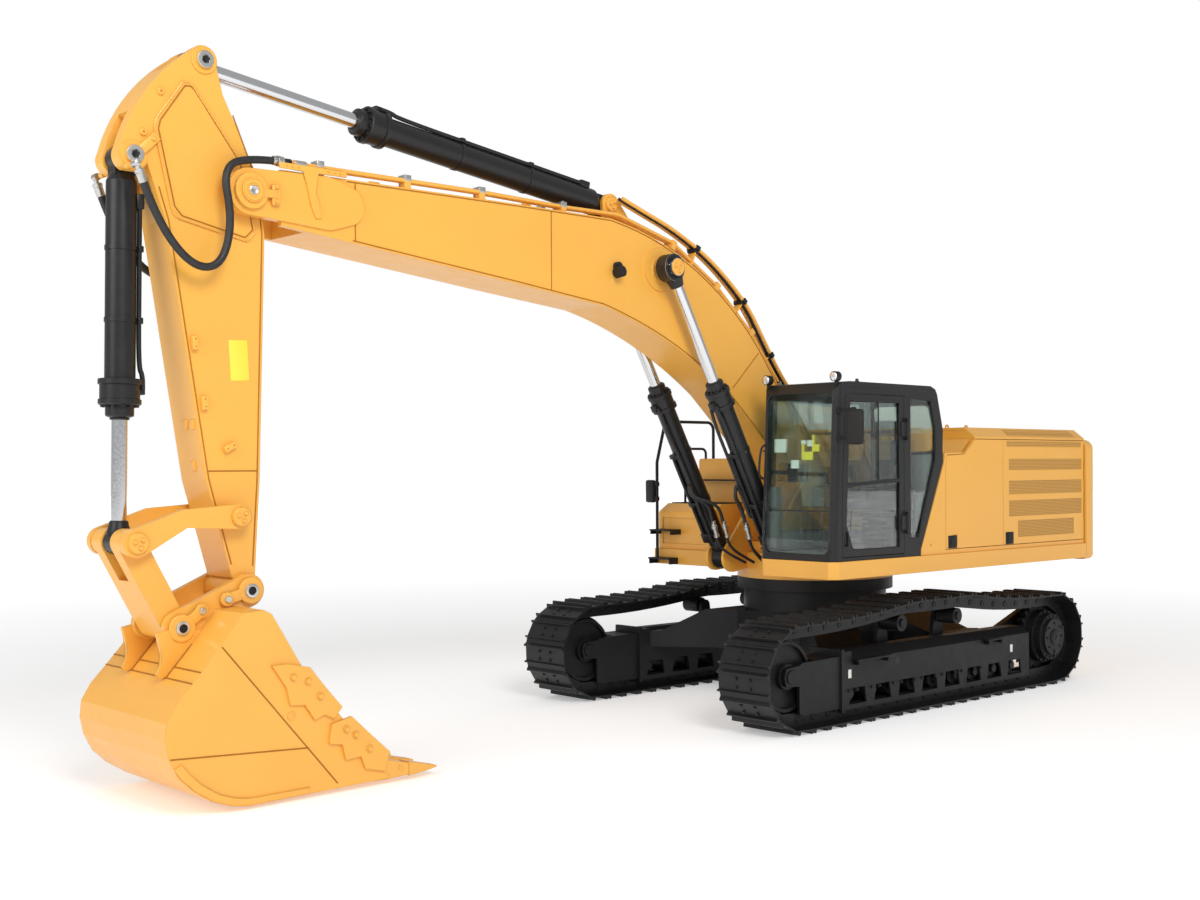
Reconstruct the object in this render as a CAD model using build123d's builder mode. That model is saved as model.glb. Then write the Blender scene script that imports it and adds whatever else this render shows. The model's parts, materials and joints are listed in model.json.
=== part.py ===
"""Crawler excavator: tracked undercarriage, turning upper body, cab, bent boom, stick and bucket.

Millimetres. It is drawn about its swing axis: +X ahead (the boom's side), +Y the machine's left
(the cab's side), +Z up from the ground. Every piece is moved back by MIDDLE_X when it is written.
"""
import os
from math import cos, hypot, radians, sin, sqrt

from build123d import *

MIDDLE_X = 2035.0

# ---------------------------------------------------------------- tracks
TRACK_GAUGE = 2740.0
TRACK_Y = TRACK_GAUGE / 2
SHOE_WIDTH = 600.0
SHOES = 52
WHEELBASE = 4360.0
WHEEL_Z = 505.0
PITCH_RADIUS = 400.0
LINK_HALF = 62.0
SHOE_PLATE = 15.0
GROUSER = 28.0
RAIL_INNER = 58.0
RAIL_OUTER = 108.0
CARRIER_X = (450.0, -500.0)
CARRIER_LIFT = 105.0
CARRIER_RADIUS = 82.0
RUN_SAG = (34.0, 8.0, 40.0)
ROLLER_RADIUS = 95.0
ROLLER_COUNT = 9
ROLLER_PITCH = 345.0
SPROCKET_TEETH = 23
FIT = 0.1

# ---------------------------------------------------------------- track frames and car body
FRAME_INNER = 190.0
FRAME_OUTER = 180.0
FRAME_FRONT = 1475.0
FRAME_REAR = -1740.0
FRAME_BOTTOM = 364.0
FRAME_TOP = 655.0
GUARD_BOTTOM = 122.0
GUARD_PLATE = 22.0
BEARING_RADIUS = 830.0
BEARING_Z = 1230.0
COLUMN_RADIUS = 760.0

# ---------------------------------------------------------------- upper body
DECK_BOTTOM = 1335.0
DECK_TOP = 1500.0
DECK_HALF = 1495.0
DECK_WALL = 30.0
SIDE_STEP = 25.0
SIDE_Y = DECK_HALF - SIDE_STEP
CAB_FRONT = 1520.0
CAB_RIGHT = 545.0
CAB_LEFT = DECK_HALF - SIDE_STEP
CAB_WALL = 48.0
CAB_FLOOR = 1500.3
CAB_TOP = 3205.0
TAIL_RADIUS = 3760.0
WEIGHT_FRONT = -3060.0
WEIGHT_CORNER = -3255.0
WEIGHT_BOTTOM = 1312.0
WEIGHT_TOP = 2690.0
SHOULDER_LOW = 2530.0
SHOULDER_HIGH = 2700.0
HOOD_TOP = 2800.0
PANEL = 30.0
SEAM = 6.0
PIVOT_IN = 40.0
PIVOT_RADIUS = 8.0
HOUSE_FRONT = -300.0
STEP_LEFT = SIDE_Y - 485

# ---------------------------------------------------------------- pins of the arm, (x, z)
BOOM_FOOT = (300.0, 2200.0)
BOOM_TIP = (6835.0, 4452.0)
BOOM_LUG = (2565.0, 4262.0)
LIFT_BASE = (1000.0, 1450.0)
STICK_BASE = (3050.0, 4835.0)
STICK_EAR = (7135.0, 5385.0)
DIG_BASE = (7668.0, 4621.0)
BUCKET_PIN = (6838.0, 1507.0)
IDLER_PIN = (6920.0, 2055.0)
KNUCKLE = (7705.0, 1890.0)
BUCKET_EAR = (7378.0, 1272.0)

# ---------------------------------------------------------------- lanes across the arm
BOOM_REAR_HALF = 262.0
BOOM_FRONT_HALF = 300.0
LIFT_Y = 400.0
BRACKET_INNER = 264.0
BRACKET_OUTER = 298.0
BRACKET_REAR = -280.0
EYE_HALF = 65.0
STICK_HALF = 190.0
PORT_END = 240.0
SLOT_HALF = 78.0
FORK_INNER = 243.0
FORK_OUTER = 318.0
EAR_INNER = 215.0
EAR_OUTER = 275.0
ARM_INNER = 250.0
ARM_OUTER = 310.0
BUCKET_HALF = 707.0
BUCKET_SIDE = 36.0
WRAPPER = 26.0
PLATE = 14.0


# ================================================================ helpers
def side_plane(y):
    """Sketches on it have the machine's X and Z, and grow toward -Y."""
    return Plane((0, y, 0), x_dir=(1, 0, 0), z_dir=(0, -1, 0))


def plate(points, y0, y1):
    with BuildPart(mode=Mode.PRIVATE) as piece:
        with BuildSketch(side_plane(y1)):
            with BuildLine():
                Polyline(*points, close=True)
            make_face()
        extrude(amount=y1 - y0)
    return piece.part


def bar(x, z, radius, y0, y1):
    with BuildPart(mode=Mode.PRIVATE) as piece:
        with BuildSketch(side_plane(y1)):
            with Locations((x, z)):
                Circle(radius)
        extrude(amount=y1 - y0)
    return piece.part


def hull(circles, y0, y1):
    """A plate round circles, given as (x, z, radius)."""
    with BuildPart(mode=Mode.PRIVATE) as piece:
        with BuildSketch(side_plane(y1)):
            for x, z, radius in circles:
                with Locations((x, z)):
                    Circle(radius)
            make_hull()
        extrude(amount=y1 - y0)
    return piece.part


def block(x0, x1, y0, y1, z0, z1):
    with BuildPart(mode=Mode.PRIVATE) as piece:
        with Locations(((x0 + x1) / 2, (y0 + y1) / 2, (z0 + z1) / 2)):
            Box(x1 - x0, y1 - y0, z1 - z0)
    return piece.part


def slab(points, z0, z1):
    """A plate with a plan outline."""
    with BuildPart(mode=Mode.PRIVATE) as piece:
        with BuildSketch(Plane.XY.offset(z0)):
            with BuildLine():
                Polyline(*points, close=True)
            make_face()
        extrude(amount=z1 - z0)
    return piece.part


def disc(x, y, radius, z0, z1):
    with BuildPart(mode=Mode.PRIVATE) as piece:
        with BuildSketch(Plane.XY.offset(z0)):
            with Locations((x, y)):
                Circle(radius)
        extrude(amount=z1 - z0)
    return piece.part


def tube(points, radius, bend):
    with BuildPart(mode=Mode.PRIVATE) as piece:
        with BuildLine() as route:
            FilletPolyline(*points, radius=bend)
        with BuildSketch(Plane(route.wire() @ 0, z_dir=route.wire() % 0)):
            Circle(radius)
        sweep(path=route.wire())
    return piece.part


def stub(start, end, radius):
    """A short round bar between two points."""
    way = Vector(*end) - Vector(*start)
    with BuildPart(mode=Mode.PRIVATE) as piece:
        with BuildSketch(Plane(origin=start, z_dir=way)):
            Circle(radius)
        extrude(amount=way.length)
    return piece.part


def both_sides(part):
    with BuildPart(mode=Mode.PRIVATE) as piece:
        add(part)
        add(mirror(part, about=Plane.XZ))
    return piece.part


def joined(*parts):
    with BuildPart(mode=Mode.PRIVATE) as piece:
        for one in parts:
            add(one)
    return piece.part


def without(part, *cuts):
    with BuildPart(mode=Mode.PRIVATE) as piece:
        add(part)
        for one in cuts:
            add(one, mode=Mode.SUBTRACT)
    return piece.part


def along(a, b):
    """The place whose X runs from pin a to pin b, in the plane of the arm."""
    length = hypot(b[0] - a[0], b[1] - a[1])
    return ((b[0] - a[0]) / length, (b[1] - a[1]) / length), length


# ================================================================ tracks
def track_line():
    """The chain's pitch line, as close points, ahead along the ground and back over the top."""
    half = WHEELBASE / 2
    low = WHEEL_Z - PITCH_RADIUS
    high = WHEEL_Z + PITCH_RADIUS
    line = [(-half + WHEELBASE * i / 200, low) for i in range(200)]
    turn = [radians(-90 + 180 * i / 120) for i in range(120)]
    line += [(half + PITCH_RADIUS * cos(a), WHEEL_Z + PITCH_RADIUS * sin(a)) for a in turn]
    stops = [(half, high), (CARRIER_X[0], high + CARRIER_LIFT)]
    stops += [(CARRIER_X[1], high + CARRIER_LIFT), (-half, high)]
    for (x0, z0), (x1, z1), sag in zip(stops, stops[1:], RUN_SAG):
        for i in range(80):
            t = i / 80
            line.append((x0 + (x1 - x0) * t, z0 + (z1 - z0) * t - 4 * sag * t * (1 - t)))
    line += [(-half - PITCH_RADIUS * cos(a), WHEEL_Z - PITCH_RADIUS * sin(a)) for a in turn]
    return line


def chain_pins():
    line = track_line()
    line.append(line[0])
    reach = [0.0]
    for a, b in zip(line, line[1:]):
        reach.append(reach[-1] + hypot(b[0] - a[0], b[1] - a[1]))
    pins = []
    at = 0
    for i in range(SHOES):
        want = reach[-1] * (i + 0.5) / SHOES
        while reach[at + 1] < want:
            at += 1
        t = (want - reach[at]) / (reach[at + 1] - reach[at])
        a, b = line[at], line[at + 1]
        pins.append((a[0] + (b[0] - a[0]) * t, a[1] + (b[1] - a[1]) * t))
    return pins


def track(side):
    """One closed track: double-bar shoes all round, over two rows of links."""
    pins = chain_pins()
    half = hypot(pins[1][0] - pins[0][0], pins[1][1] - pins[0][1]) / 2
    top = LINK_HALF + SHOE_PLATE
    tip = top + GROUSER
    # along, out
    shoe = ((4 - half, LINK_HALF + 8), (8 - half, tip), (22 - half, tip), (30 - half, top),
            (half - 46, top), (half - 38, tip), (half - 24, tip), (half - 4, LINK_HALF + 8))
    outline, seat, rail = [], [], []
    for a, b in zip(pins, pins[1:] + pins[:1]):
        middle = ((a[0] + b[0]) / 2, (a[1] + b[1]) / 2)
        (tx, tz), _ = along(a, b)
        outline += [(middle[0] + tx * s + tz * n, middle[1] + tz * s - tx * n) for s, n in shoe]
    for before, pin, after in zip(pins[-1:] + pins[:-1], pins, pins[1:] + pins[:1]):
        (tx, tz), _ = along(before, after)
        seat.append((pin[0] + tz * LINK_HALF, pin[1] - tx * LINK_HALF))
        rail.append((pin[0] - tz * LINK_HALF, pin[1] + tx * LINK_HALF))
    middle_y = side * TRACK_Y
    with BuildPart() as loop:
        add(plate(outline, middle_y - SHOE_WIDTH / 2, middle_y + SHOE_WIDTH / 2))
        add(plate(seat, middle_y - SHOE_WIDTH, middle_y + SHOE_WIDTH), mode=Mode.SUBTRACT)
        for row in (-1, 1):
            near, far = sorted((middle_y + row * RAIL_INNER, middle_y + row * RAIL_OUTER))
            link = without(plate([(x * 1.0, z) for x, z in seat], near, far), plate(rail, near - 1, far + 1))
            add(link)
    return loop.part


def sprocket(side):
    """Toothed drive wheel between the links, on the final drive's hub."""
    middle = side * TRACK_Y
    inner = PITCH_RADIUS - LINK_HALF - 6
    with BuildPart() as wheel:
        with BuildSketch(side_plane(middle + 36)):
            with Locations((-WHEELBASE / 2, WHEEL_Z)):
                Circle(inner)
                with PolarLocations(inner - 4, SPROCKET_TEETH):
                    Trapezoid(70, 62, 72, rotation=-90, align=(Align.CENTER, Align.MIN))
                Circle(252, mode=Mode.SUBTRACT)
        extrude(amount=72)
    return wheel.part


def idler(side):
    middle = side * TRACK_Y
    x = WHEELBASE / 2
    rim = sqrt(PITCH_RADIUS ** 2 - 108.5 ** 2) - LINK_HALF - 2
    with BuildPart() as wheel:
        add(bar(x, WHEEL_Z, rim, middle - RAIL_OUTER, middle + RAIL_OUTER))
        add(bar(x, WHEEL_Z, rim - 32, middle - 130, middle - 70), mode=Mode.SUBTRACT)
        add(bar(x, WHEEL_Z, rim - 32, middle + 70, middle + 130), mode=Mode.SUBTRACT)
        add(bar(x, WHEEL_Z, rim + 26, middle - RAIL_INNER + 8, middle + RAIL_INNER - 8))
        add(bar(x, WHEEL_Z, 118, middle - 122, middle + 122))
        add(bar(x, WHEEL_Z, 62, middle - 176, middle + 176))
    return wheel.part


def final_drive(side):
    """Travel motor's housing inside, ring and stepped cap outside."""
    x = -WHEELBASE / 2
    steps = ((-205, -36, 248), (-36, 36, 252), (36, 120, 285), (120, 196, 250), (196, 232, 200))
    with BuildPart() as drive:
        for near, far, radius in steps:
            y0, y1 = sorted((side * (TRACK_Y + near), side * (TRACK_Y + far)))
            add(bar(x, WHEEL_Z, radius, y0, y1))
    return drive.part


def track_rollers():
    """Lower rollers, nine a side, each a shaft with two treads and a middle flange."""
    z = WHEEL_Z - PITCH_RADIUS + LINK_HALF + ROLLER_RADIUS + 0.5
    start = -(ROLLER_COUNT - 1) / 2 * ROLLER_PITCH - 60
    with BuildPart() as rollers:
        for side in (-1, 1):
            for i in range(ROLLER_COUNT):
                x = start + i * ROLLER_PITCH
                middle = side * TRACK_Y
                add(bar(x, z, ROLLER_RADIUS, middle - RAIL_OUTER - 4, middle + RAIL_OUTER + 4))
                y0, y1 = sorted((side * (TRACK_Y - FRAME_INNER + GUARD_PLATE + 0.3),
                                 side * (TRACK_Y + FRAME_OUTER - GUARD_PLATE - 0.3)))
                add(bar(x, z, 42, y0, y1))
    return rollers.part


def carrier_rollers():
    z = WHEEL_Z + PITCH_RADIUS + CARRIER_LIFT - LINK_HALF - CARRIER_RADIUS - 12
    with BuildPart() as rollers:
        for side in (-1, 1):
            for x in CARRIER_X:
                middle = side * TRACK_Y
                add(bar(x, z, CARRIER_RADIUS, middle - RAIL_OUTER, middle + RAIL_OUTER))
                y0, y1 = sorted((side * (TRACK_Y - 150), side * (TRACK_Y + 128)))
                add(bar(x, z, 40, y0, y1))
                inner, outer = sorted((side * (TRACK_Y - 178), side * (TRACK_Y - 132)))
                add(hull(((x, z, 62), (x, FRAME_TOP + 10, 90)), inner, outer))
        add(track_frame(1), mode=Mode.SUBTRACT)
        add(track_frame(-1), mode=Mode.SUBTRACT)
    return rollers.part


def track_frame(side):
    """Box beam with smooth side plate, windowed roller guards, idler nose and motor bracket."""
    y0, y1 = sorted((side * (TRACK_Y - FRAME_INNER), side * (TRACK_Y + FRAME_OUTER)))
    face0, face1 = sorted((side * (TRACK_Y + FRAME_OUTER - GUARD_PLATE), side * (TRACK_Y + FRAME_OUTER)))
    back0, back1 = sorted((side * (TRACK_Y - FRAME_INNER), side * (TRACK_Y - FRAME_INNER + GUARD_PLATE)))
    half = WHEELBASE / 2
    with BuildPart() as frame:
        section = ((FRAME_REAR, FRAME_BOTTOM), (FRAME_REAR, FRAME_TOP), (FRAME_FRONT, FRAME_TOP + 12),
                   (FRAME_FRONT, FRAME_BOTTOM))
        add(plate(section, y0, y1))
        # the top falls away to both sides
        for near, out in ((y0, -1), (y1, 1)):
            wedge = ((near + out, FRAME_TOP - 70), (near + out, FRAME_TOP + 90),
                     (near - out * 150, FRAME_TOP + 90), (near - out * 130, FRAME_TOP + 14))
            with BuildSketch(Plane((FRAME_REAR - 40, 0, 0), x_dir=(0, 1, 0), z_dir=(1, 0, 0))):
                with BuildLine():
                    Polyline(*wedge, close=True)
                make_face()
            extrude(amount=FRAME_FRONT - FRAME_REAR - 100, mode=Mode.SUBTRACT)
        for low, high in ((face0, face1), (back0, back1)):
            add(plate(((FRAME_REAR, GUARD_BOTTOM), (FRAME_REAR, FRAME_BOTTOM), (FRAME_FRONT, FRAME_BOTTOM),
                       (FRAME_FRONT, GUARD_BOTTOM)), low, high))
        for i in range(8):
            x = -1585 + i * 385
            window = ((x, 168), (x + 26, 318), (x + 240, 318), (x + 266, 168))
            add(plate(window, -TRACK_Y * 2, TRACK_Y * 2), mode=Mode.SUBTRACT)
        # flange and nose round the idler
        add(plate(((FRAME_FRONT - 26, 100), (FRAME_FRONT - 26, 690), (FRAME_FRONT + 14, 690),
                   (FRAME_FRONT + 14, 100)), y0 - 6, y1 + 6))
        nose0, nose1 = sorted((side * (TRACK_Y - 165), side * (TRACK_Y + 165)))
        outline = ((FRAME_FRONT, 140), (FRAME_FRONT, 628), (half - 150, 620), (half - 110, 600),
                   (half - 110, 160), (half - 150, 140))
        add(plate(outline, nose0, nose1))
        add(bar(half, WHEEL_Z, PITCH_RADIUS - 10, side * TRACK_Y - 132, side * TRACK_Y + 132),
            mode=Mode.SUBTRACT)
        add(block(FRAME_FRONT - 80, half + 200, side * TRACK_Y - 132, side * TRACK_Y + 132, 60, 176),
            mode=Mode.SUBTRACT)
        lug = ((half - 120, WHEEL_Z - 95), (half - 120, WHEEL_Z + 95), (half + 70, WHEEL_Z + 80),
               (half + 95, WHEEL_Z), (half + 70, WHEEL_Z - 80))
        for low, high in ((-165, -135), (135, 165)):
            low, high = sorted((side * (TRACK_Y + low), side * (TRACK_Y + high)))
            add(plate(lug, low, high))
        add(bar(half, WHEEL_Z, 63, side * TRACK_Y - 200, side * TRACK_Y + 200), mode=Mode.SUBTRACT)
        # bracket of the travel motor, inside the sprocket
        low, high = sorted((side * (TRACK_Y - FRAME_INNER), side * (TRACK_Y - 118)))
        add(hull(((-half, WHEEL_Z, 300), (FRAME_REAR + 60, 505, 145)), low, high))
        add(bar(-half, WHEEL_Z, 249, side * TRACK_Y - 240, side * TRACK_Y + 240), mode=Mode.SUBTRACT)
    return frame.part


def car_body():
    """Box centre with four legs to the track frames, and the turntable's column."""
    edge = TRACK_Y - FRAME_INNER
    corner = ((760, 0), (760, 430), (1330, edge), (650, edge), (330, 800), (0, 800))
    plan = list(corner)
    plan += [(-x, y) for x, y in reversed(corner[:-1])]
    plan += [(-x, -y) for x, y in corner[1:]]
    plan += [(x, -y) for x, y in reversed(corner[1:-1])]
    with BuildPart() as body:
        add(slab(plan, 470, 880))
        # the legs fall toward the track frames
        for side in (-1, 1):
            near, far = side * 700, side * (edge + 10)
            with BuildSketch(Plane((-1500, 0, 0), x_dir=(0, 1, 0), z_dir=(1, 0, 0))):
                with BuildLine():
                    Polyline((near, 900), (far, 900), (far, 640), (side * (edge - 90), 640), (near, 881),
                             close=True)
                make_face()
            extrude(amount=3000, mode=Mode.SUBTRACT)
        add(disc(0, 0, COLUMN_RADIUS, 870, 1120))
        add(disc(0, 0, BEARING_RADIUS, 1110, BEARING_Z))
        add(disc(0, 0, 520, 860, BEARING_Z + 10), mode=Mode.SUBTRACT)
        add(disc(0, 0, COLUMN_RADIUS - 60, 500, 1080), mode=Mode.SUBTRACT)
        add(slab(((-640, -400), (-640, 400), (640, 400), (640, -400)), 500, 845), mode=Mode.SUBTRACT)
    return body.part


# ================================================================ upper body
def deck():
    """Revolving frame: a skirted tray with two deep beams, on the turning race."""
    outline = ((620, 575), (1400, 575), (CAB_FRONT, 610), (CAB_FRONT, DECK_HALF - 75), (1440, DECK_HALF),
               (WEIGHT_FRONT, DECK_HALF), (WEIGHT_FRONT, -DECK_HALF), (950, -DECK_HALF), (950, -640),
               (620, -640))
    with BuildPart() as tray:
        add(slab(outline, DECK_BOTTOM, DECK_TOP))
        wall = DECK_HALF - DECK_WALL
        rear = WEIGHT_FRONT + DECK_WALL
        pockets = (((590, 605), (1380, 605), (CAB_FRONT - DECK_WALL, 640), (CAB_FRONT - DECK_WALL, wall - 65),
                    (1420, wall), (590, wall)),
                   ((560, 350), (560, wall), (rear, wall), (rear, 350)),
                   ((920, -wall), (920, -670), (560, -670), (560, -350), (rear, -350), (rear, -wall)))
        for pocket in pockets:
            add(slab(pocket, DECK_BOTTOM - 1, DECK_TOP - DECK_WALL), mode=Mode.SUBTRACT)
        add(disc(0, 0, BEARING_RADIUS, BEARING_Z + 0.5, DECK_TOP - 1))
        add(disc(0, 0, 520, BEARING_Z, DECK_TOP - 40), mode=Mode.SUBTRACT)
        # pads that carry the counterweight
        for y0, y1 in ((-800, -360), (360, 800)):
            add(block(WEIGHT_FRONT - SEAM + 0.3, WEIGHT_FRONT + 1, y0, y1, DECK_BOTTOM + 10, DECK_TOP - 10))
    return tray.part


def boom_bracket():
    """Four upright plates: two for the boom's foot and its cylinders, two outer ones."""
    fx, fz = BOOM_FOOT
    lx, lz = LIFT_BASE
    with BuildPart() as bracket:
        for side in (-1, 1):
            y0, y1 = sorted((side * BRACKET_INNER, side * BRACKET_OUTER))
            add(hull(((fx, fz, 190), (lx, lz, 150), (BRACKET_REAR + 31, DECK_TOP + 31, 31)), y0, y1))
            y0, y1 = sorted((side * (LIFT_Y + EYE_HALF + 36), side * (LIFT_Y + EYE_HALF + 76)))
            add(hull(((lx, lz, 140), (560, DECK_TOP + 60, 50), (560, DECK_BOTTOM + 60, 50)), y0, y1))
        for y0, y1 in ((-470, -264), (264, 470)):
            add(block(600, 690, y0, y1, DECK_BOTTOM + 10, DECK_TOP + 60))
        add(block(600, 720, -264, 264, DECK_BOTTOM + 10, DECK_TOP + 110))
        add(block(WEIGHT_FRONT, 620, -DECK_HALF, DECK_HALF, DECK_BOTTOM - 60, DECK_TOP), mode=Mode.SUBTRACT)
        add(disc(0, 0, BEARING_RADIUS, BEARING_Z, DECK_TOP - 1), mode=Mode.SUBTRACT)
        add(boom_pins_upper(), mode=Mode.SUBTRACT)
    return bracket.part


def boom_pins_upper():
    """The boom's foot pin, and the base pins of its two cylinders."""
    fx, fz = BOOM_FOOT
    lx, lz = LIFT_BASE
    reach = LIFT_Y + EYE_HALF + 78
    with BuildPart() as pins:
        add(bar(fx, fz, 60, -BRACKET_OUTER - 20, BRACKET_OUTER + 20))
        add(both_sides(bar(fx, fz, 95, BRACKET_OUTER, BRACKET_OUTER + 30)))
        add(both_sides(bar(lx, lz, 55, BRACKET_INNER - 2, reach)))
    return pins.part


def counterweight():
    """Curved casting that closes the tail."""
    back = -TAIL_RADIUS
    with BuildPart() as weight:
        with BuildSketch(Plane.XY.offset(WEIGHT_BOTTOM)):
            with BuildLine():
                Line((WEIGHT_FRONT - SEAM, -DECK_HALF), (WEIGHT_FRONT - SEAM, DECK_HALF))
                Line((WEIGHT_FRONT - SEAM, DECK_HALF), (WEIGHT_CORNER, DECK_HALF))
                Line((WEIGHT_FRONT - SEAM, -DECK_HALF), (WEIGHT_CORNER, -DECK_HALF))
                ThreePointArc((WEIGHT_CORNER, DECK_HALF), (back, 0), (WEIGHT_CORNER, -DECK_HALF))
            make_face()
        extrude(amount=WEIGHT_TOP - WEIGHT_BOTTOM)
        upright = weight.edges().filter_by(Axis.Z).group_by(Axis.X)[0]
        fillet(upright, 170)
        rear = weight.faces().sort_by(Axis.Z)[-1].edges().group_by(Axis.X)[:-1]
        fillet([e for group in rear for e in group], 110)
        rear = weight.faces().sort_by(Axis.Z)[0].edges().group_by(Axis.X)[:-1]
        fillet([e for group in rear for e in group], 60)
    return weight.part


def house_section(x0, x1, left, shoulder, right=-SIDE_Y):
    """A length of the engine housing: walls, slanted shoulders and a flat roof, open below."""
    outer = ((right, DECK_TOP), (left, DECK_TOP), (left, shoulder), (left - 130, HOOD_TOP),
             (right + 130, HOOD_TOP), (right, SHOULDER_HIGH))
    inner = ((right + PANEL, DECK_TOP - 1), (left - PANEL, DECK_TOP - 1), (left - PANEL, shoulder - 12),
             (left - 130 - 14, HOOD_TOP - PANEL), (right + 130 + 14, HOOD_TOP - PANEL),
             (right + PANEL, SHOULDER_HIGH - 12))
    pieces = []
    for points in (outer, inner):
        with BuildPart(mode=Mode.PRIVATE) as run:
            with BuildSketch(Plane((x0, 0, 0), x_dir=(0, 1, 0), z_dir=(1, 0, 0))):
                with BuildLine():
                    Polyline(*points, close=True)
                make_face()
            extrude(amount=x1 - x0)
        pieces.append(run.part)
    return pieces


LEFT_DOOR_X = (-315.0, -1375.0, -3050.0)
RIGHT_DOOR_X = (-1500.0, -2980.0)
DOOR_LOW = 1545.0


def left_door_outline(index, gap):
    """Front and louvred door of the left wall, in X and Z, grown by gap."""
    if index == 0:
        front, rear = LEFT_DOOR_X[0] + gap, LEFT_DOOR_X[1] - gap
        return ((front, DOOR_LOW - gap), (front, 2400), (front - 22, SHOULDER_LOW - 24 + gap),
                (-660, SHOULDER_LOW - 10 + gap), (-845 + gap, SHOULDER_HIGH - 24 + gap),
                (rear, SHOULDER_HIGH - 24 + gap), (rear, DOOR_LOW - gap))
    front, rear = LEFT_DOOR_X[1] + gap, LEFT_DOOR_X[2] - gap
    return ((front, DOOR_LOW - gap), (front, SHOULDER_HIGH - 24 + gap), (rear, SHOULDER_HIGH - 24 + gap),
            (rear, DOOR_LOW - gap))


def door_pivots(x, y, low, high, radius):
    """The two short pivot pins at a side door's foot and head."""
    with BuildPart(mode=Mode.PRIVATE) as pins:
        add(disc(x, y, radius, low - 14, low + 20))
        add(disc(x, y, radius, high - 20, high + 14))
    return pins.part


def house():
    """Engine housing: left bay, low step behind the cab, raised hood, right wall and bulkheads."""
    with BuildPart() as shell:
        outer, inner = house_section(WEIGHT_FRONT, -850, SIDE_Y, SHOULDER_HIGH)
        add(outer)
        step = house_section(-850, HOUSE_FRONT, STEP_LEFT, HOOD_TOP - 60)
        add(step[0])
        bay = plate(((-850, DECK_TOP), (-850, SHOULDER_LOW + 150), (-680, SHOULDER_LOW + 5),
                     (-305, SHOULDER_LOW), (-284, 2420), (108, DECK_TOP + 60), (108, DECK_TOP)), 560, SIDE_Y)
        add(bay)
        add(inner, mode=Mode.SUBTRACT)
        add(step[1], mode=Mode.SUBTRACT)
        add(plate(((-900, DECK_TOP - 1), (-900, SHOULDER_LOW - 30), (-330, SHOULDER_LOW - 30),
                   (-314, 2410), (74, DECK_TOP + 50), (74, DECK_TOP - 1)), 590, SIDE_Y - PANEL),
            mode=Mode.SUBTRACT)
        # bulkheads
        add(block(HOUSE_FRONT - PANEL, HOUSE_FRONT, -SIDE_Y, STEP_LEFT, DECK_TOP, HOOD_TOP - 60))
        add(block(-1425, -1395, -SIDE_Y + 10, SIDE_Y - 40, DECK_TOP, SHOULDER_HIGH - 30))
        for index in (0, 1):
            add(plate(left_door_outline(index, SEAM / 2), SIDE_Y - PANEL - 40, SIDE_Y + 1), mode=Mode.SUBTRACT)
            add(door_pivots(LEFT_DOOR_X[index + 1] + PIVOT_IN, SIDE_Y - PANEL / 2, DOOR_LOW, SHOULDER_HIGH - 24,
                            PIVOT_RADIUS + FIT), mode=Mode.SUBTRACT)
        add(door_pivots(RIGHT_DOOR_X[1] + PIVOT_IN, -SIDE_Y + PANEL / 2, DOOR_LOW, 2560, PIVOT_RADIUS + FIT),
            mode=Mode.SUBTRACT)
        door = ((RIGHT_DOOR_X[0] + SEAM, DOOR_LOW - SEAM), (RIGHT_DOOR_X[0] + SEAM, 2560),
                (RIGHT_DOOR_X[1] - SEAM, 2560), (RIGHT_DOOR_X[1] - SEAM, DOOR_LOW - SEAM))
        add(plate(door, -SIDE_Y - 1, -SIDE_Y + PANEL + 1), mode=Mode.SUBTRACT)
        add(block(-2700, -1500, -900, 700, HOOD_TOP - PANEL - 20, HOOD_TOP + 1), mode=Mode.SUBTRACT)
        add(bar(-2700 + PIVOT_IN, HOOD_TOP - PANEL / 2, PIVOT_RADIUS + FIT, -914, 714), mode=Mode.SUBTRACT)
        # roof grille over the left shoulder
        for i in range(9):
            x = -2760 + i * 150
            add(block(x, x + 108, SIDE_Y - 470, SIDE_Y - 200, HOOD_TOP - PANEL - 20, HOOD_TOP + 1),
                mode=Mode.SUBTRACT)
    return shell.part


def left_front_door():
    with BuildPart() as door:
        add(plate(left_door_outline(0, -SEAM / 2), SIDE_Y - PANEL, SIDE_Y))
        add(door_pivots(LEFT_DOOR_X[1] + PIVOT_IN, SIDE_Y - PANEL / 2, DOOR_LOW, SHOULDER_HIGH - 24, PIVOT_RADIUS))
        add(block(-520, -430, SIDE_Y - PANEL, SIDE_Y + 1, 1575, 1690), mode=Mode.SUBTRACT)
        add(block(-522, -428, SIDE_Y - PANEL, SIDE_Y - 12, 1573, 1692))
    return door.part


GRILLES = (  # low z, high z, rear x, front x
    (2600, 2660, -2990, -1445),
    (2350, 2468, -3000, -1490),
    (2085, 2232, -3000, -1490),
    (1850, 2018, -3000, -1490),
    (1620, 1800, -2830, -1665),
)


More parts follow.
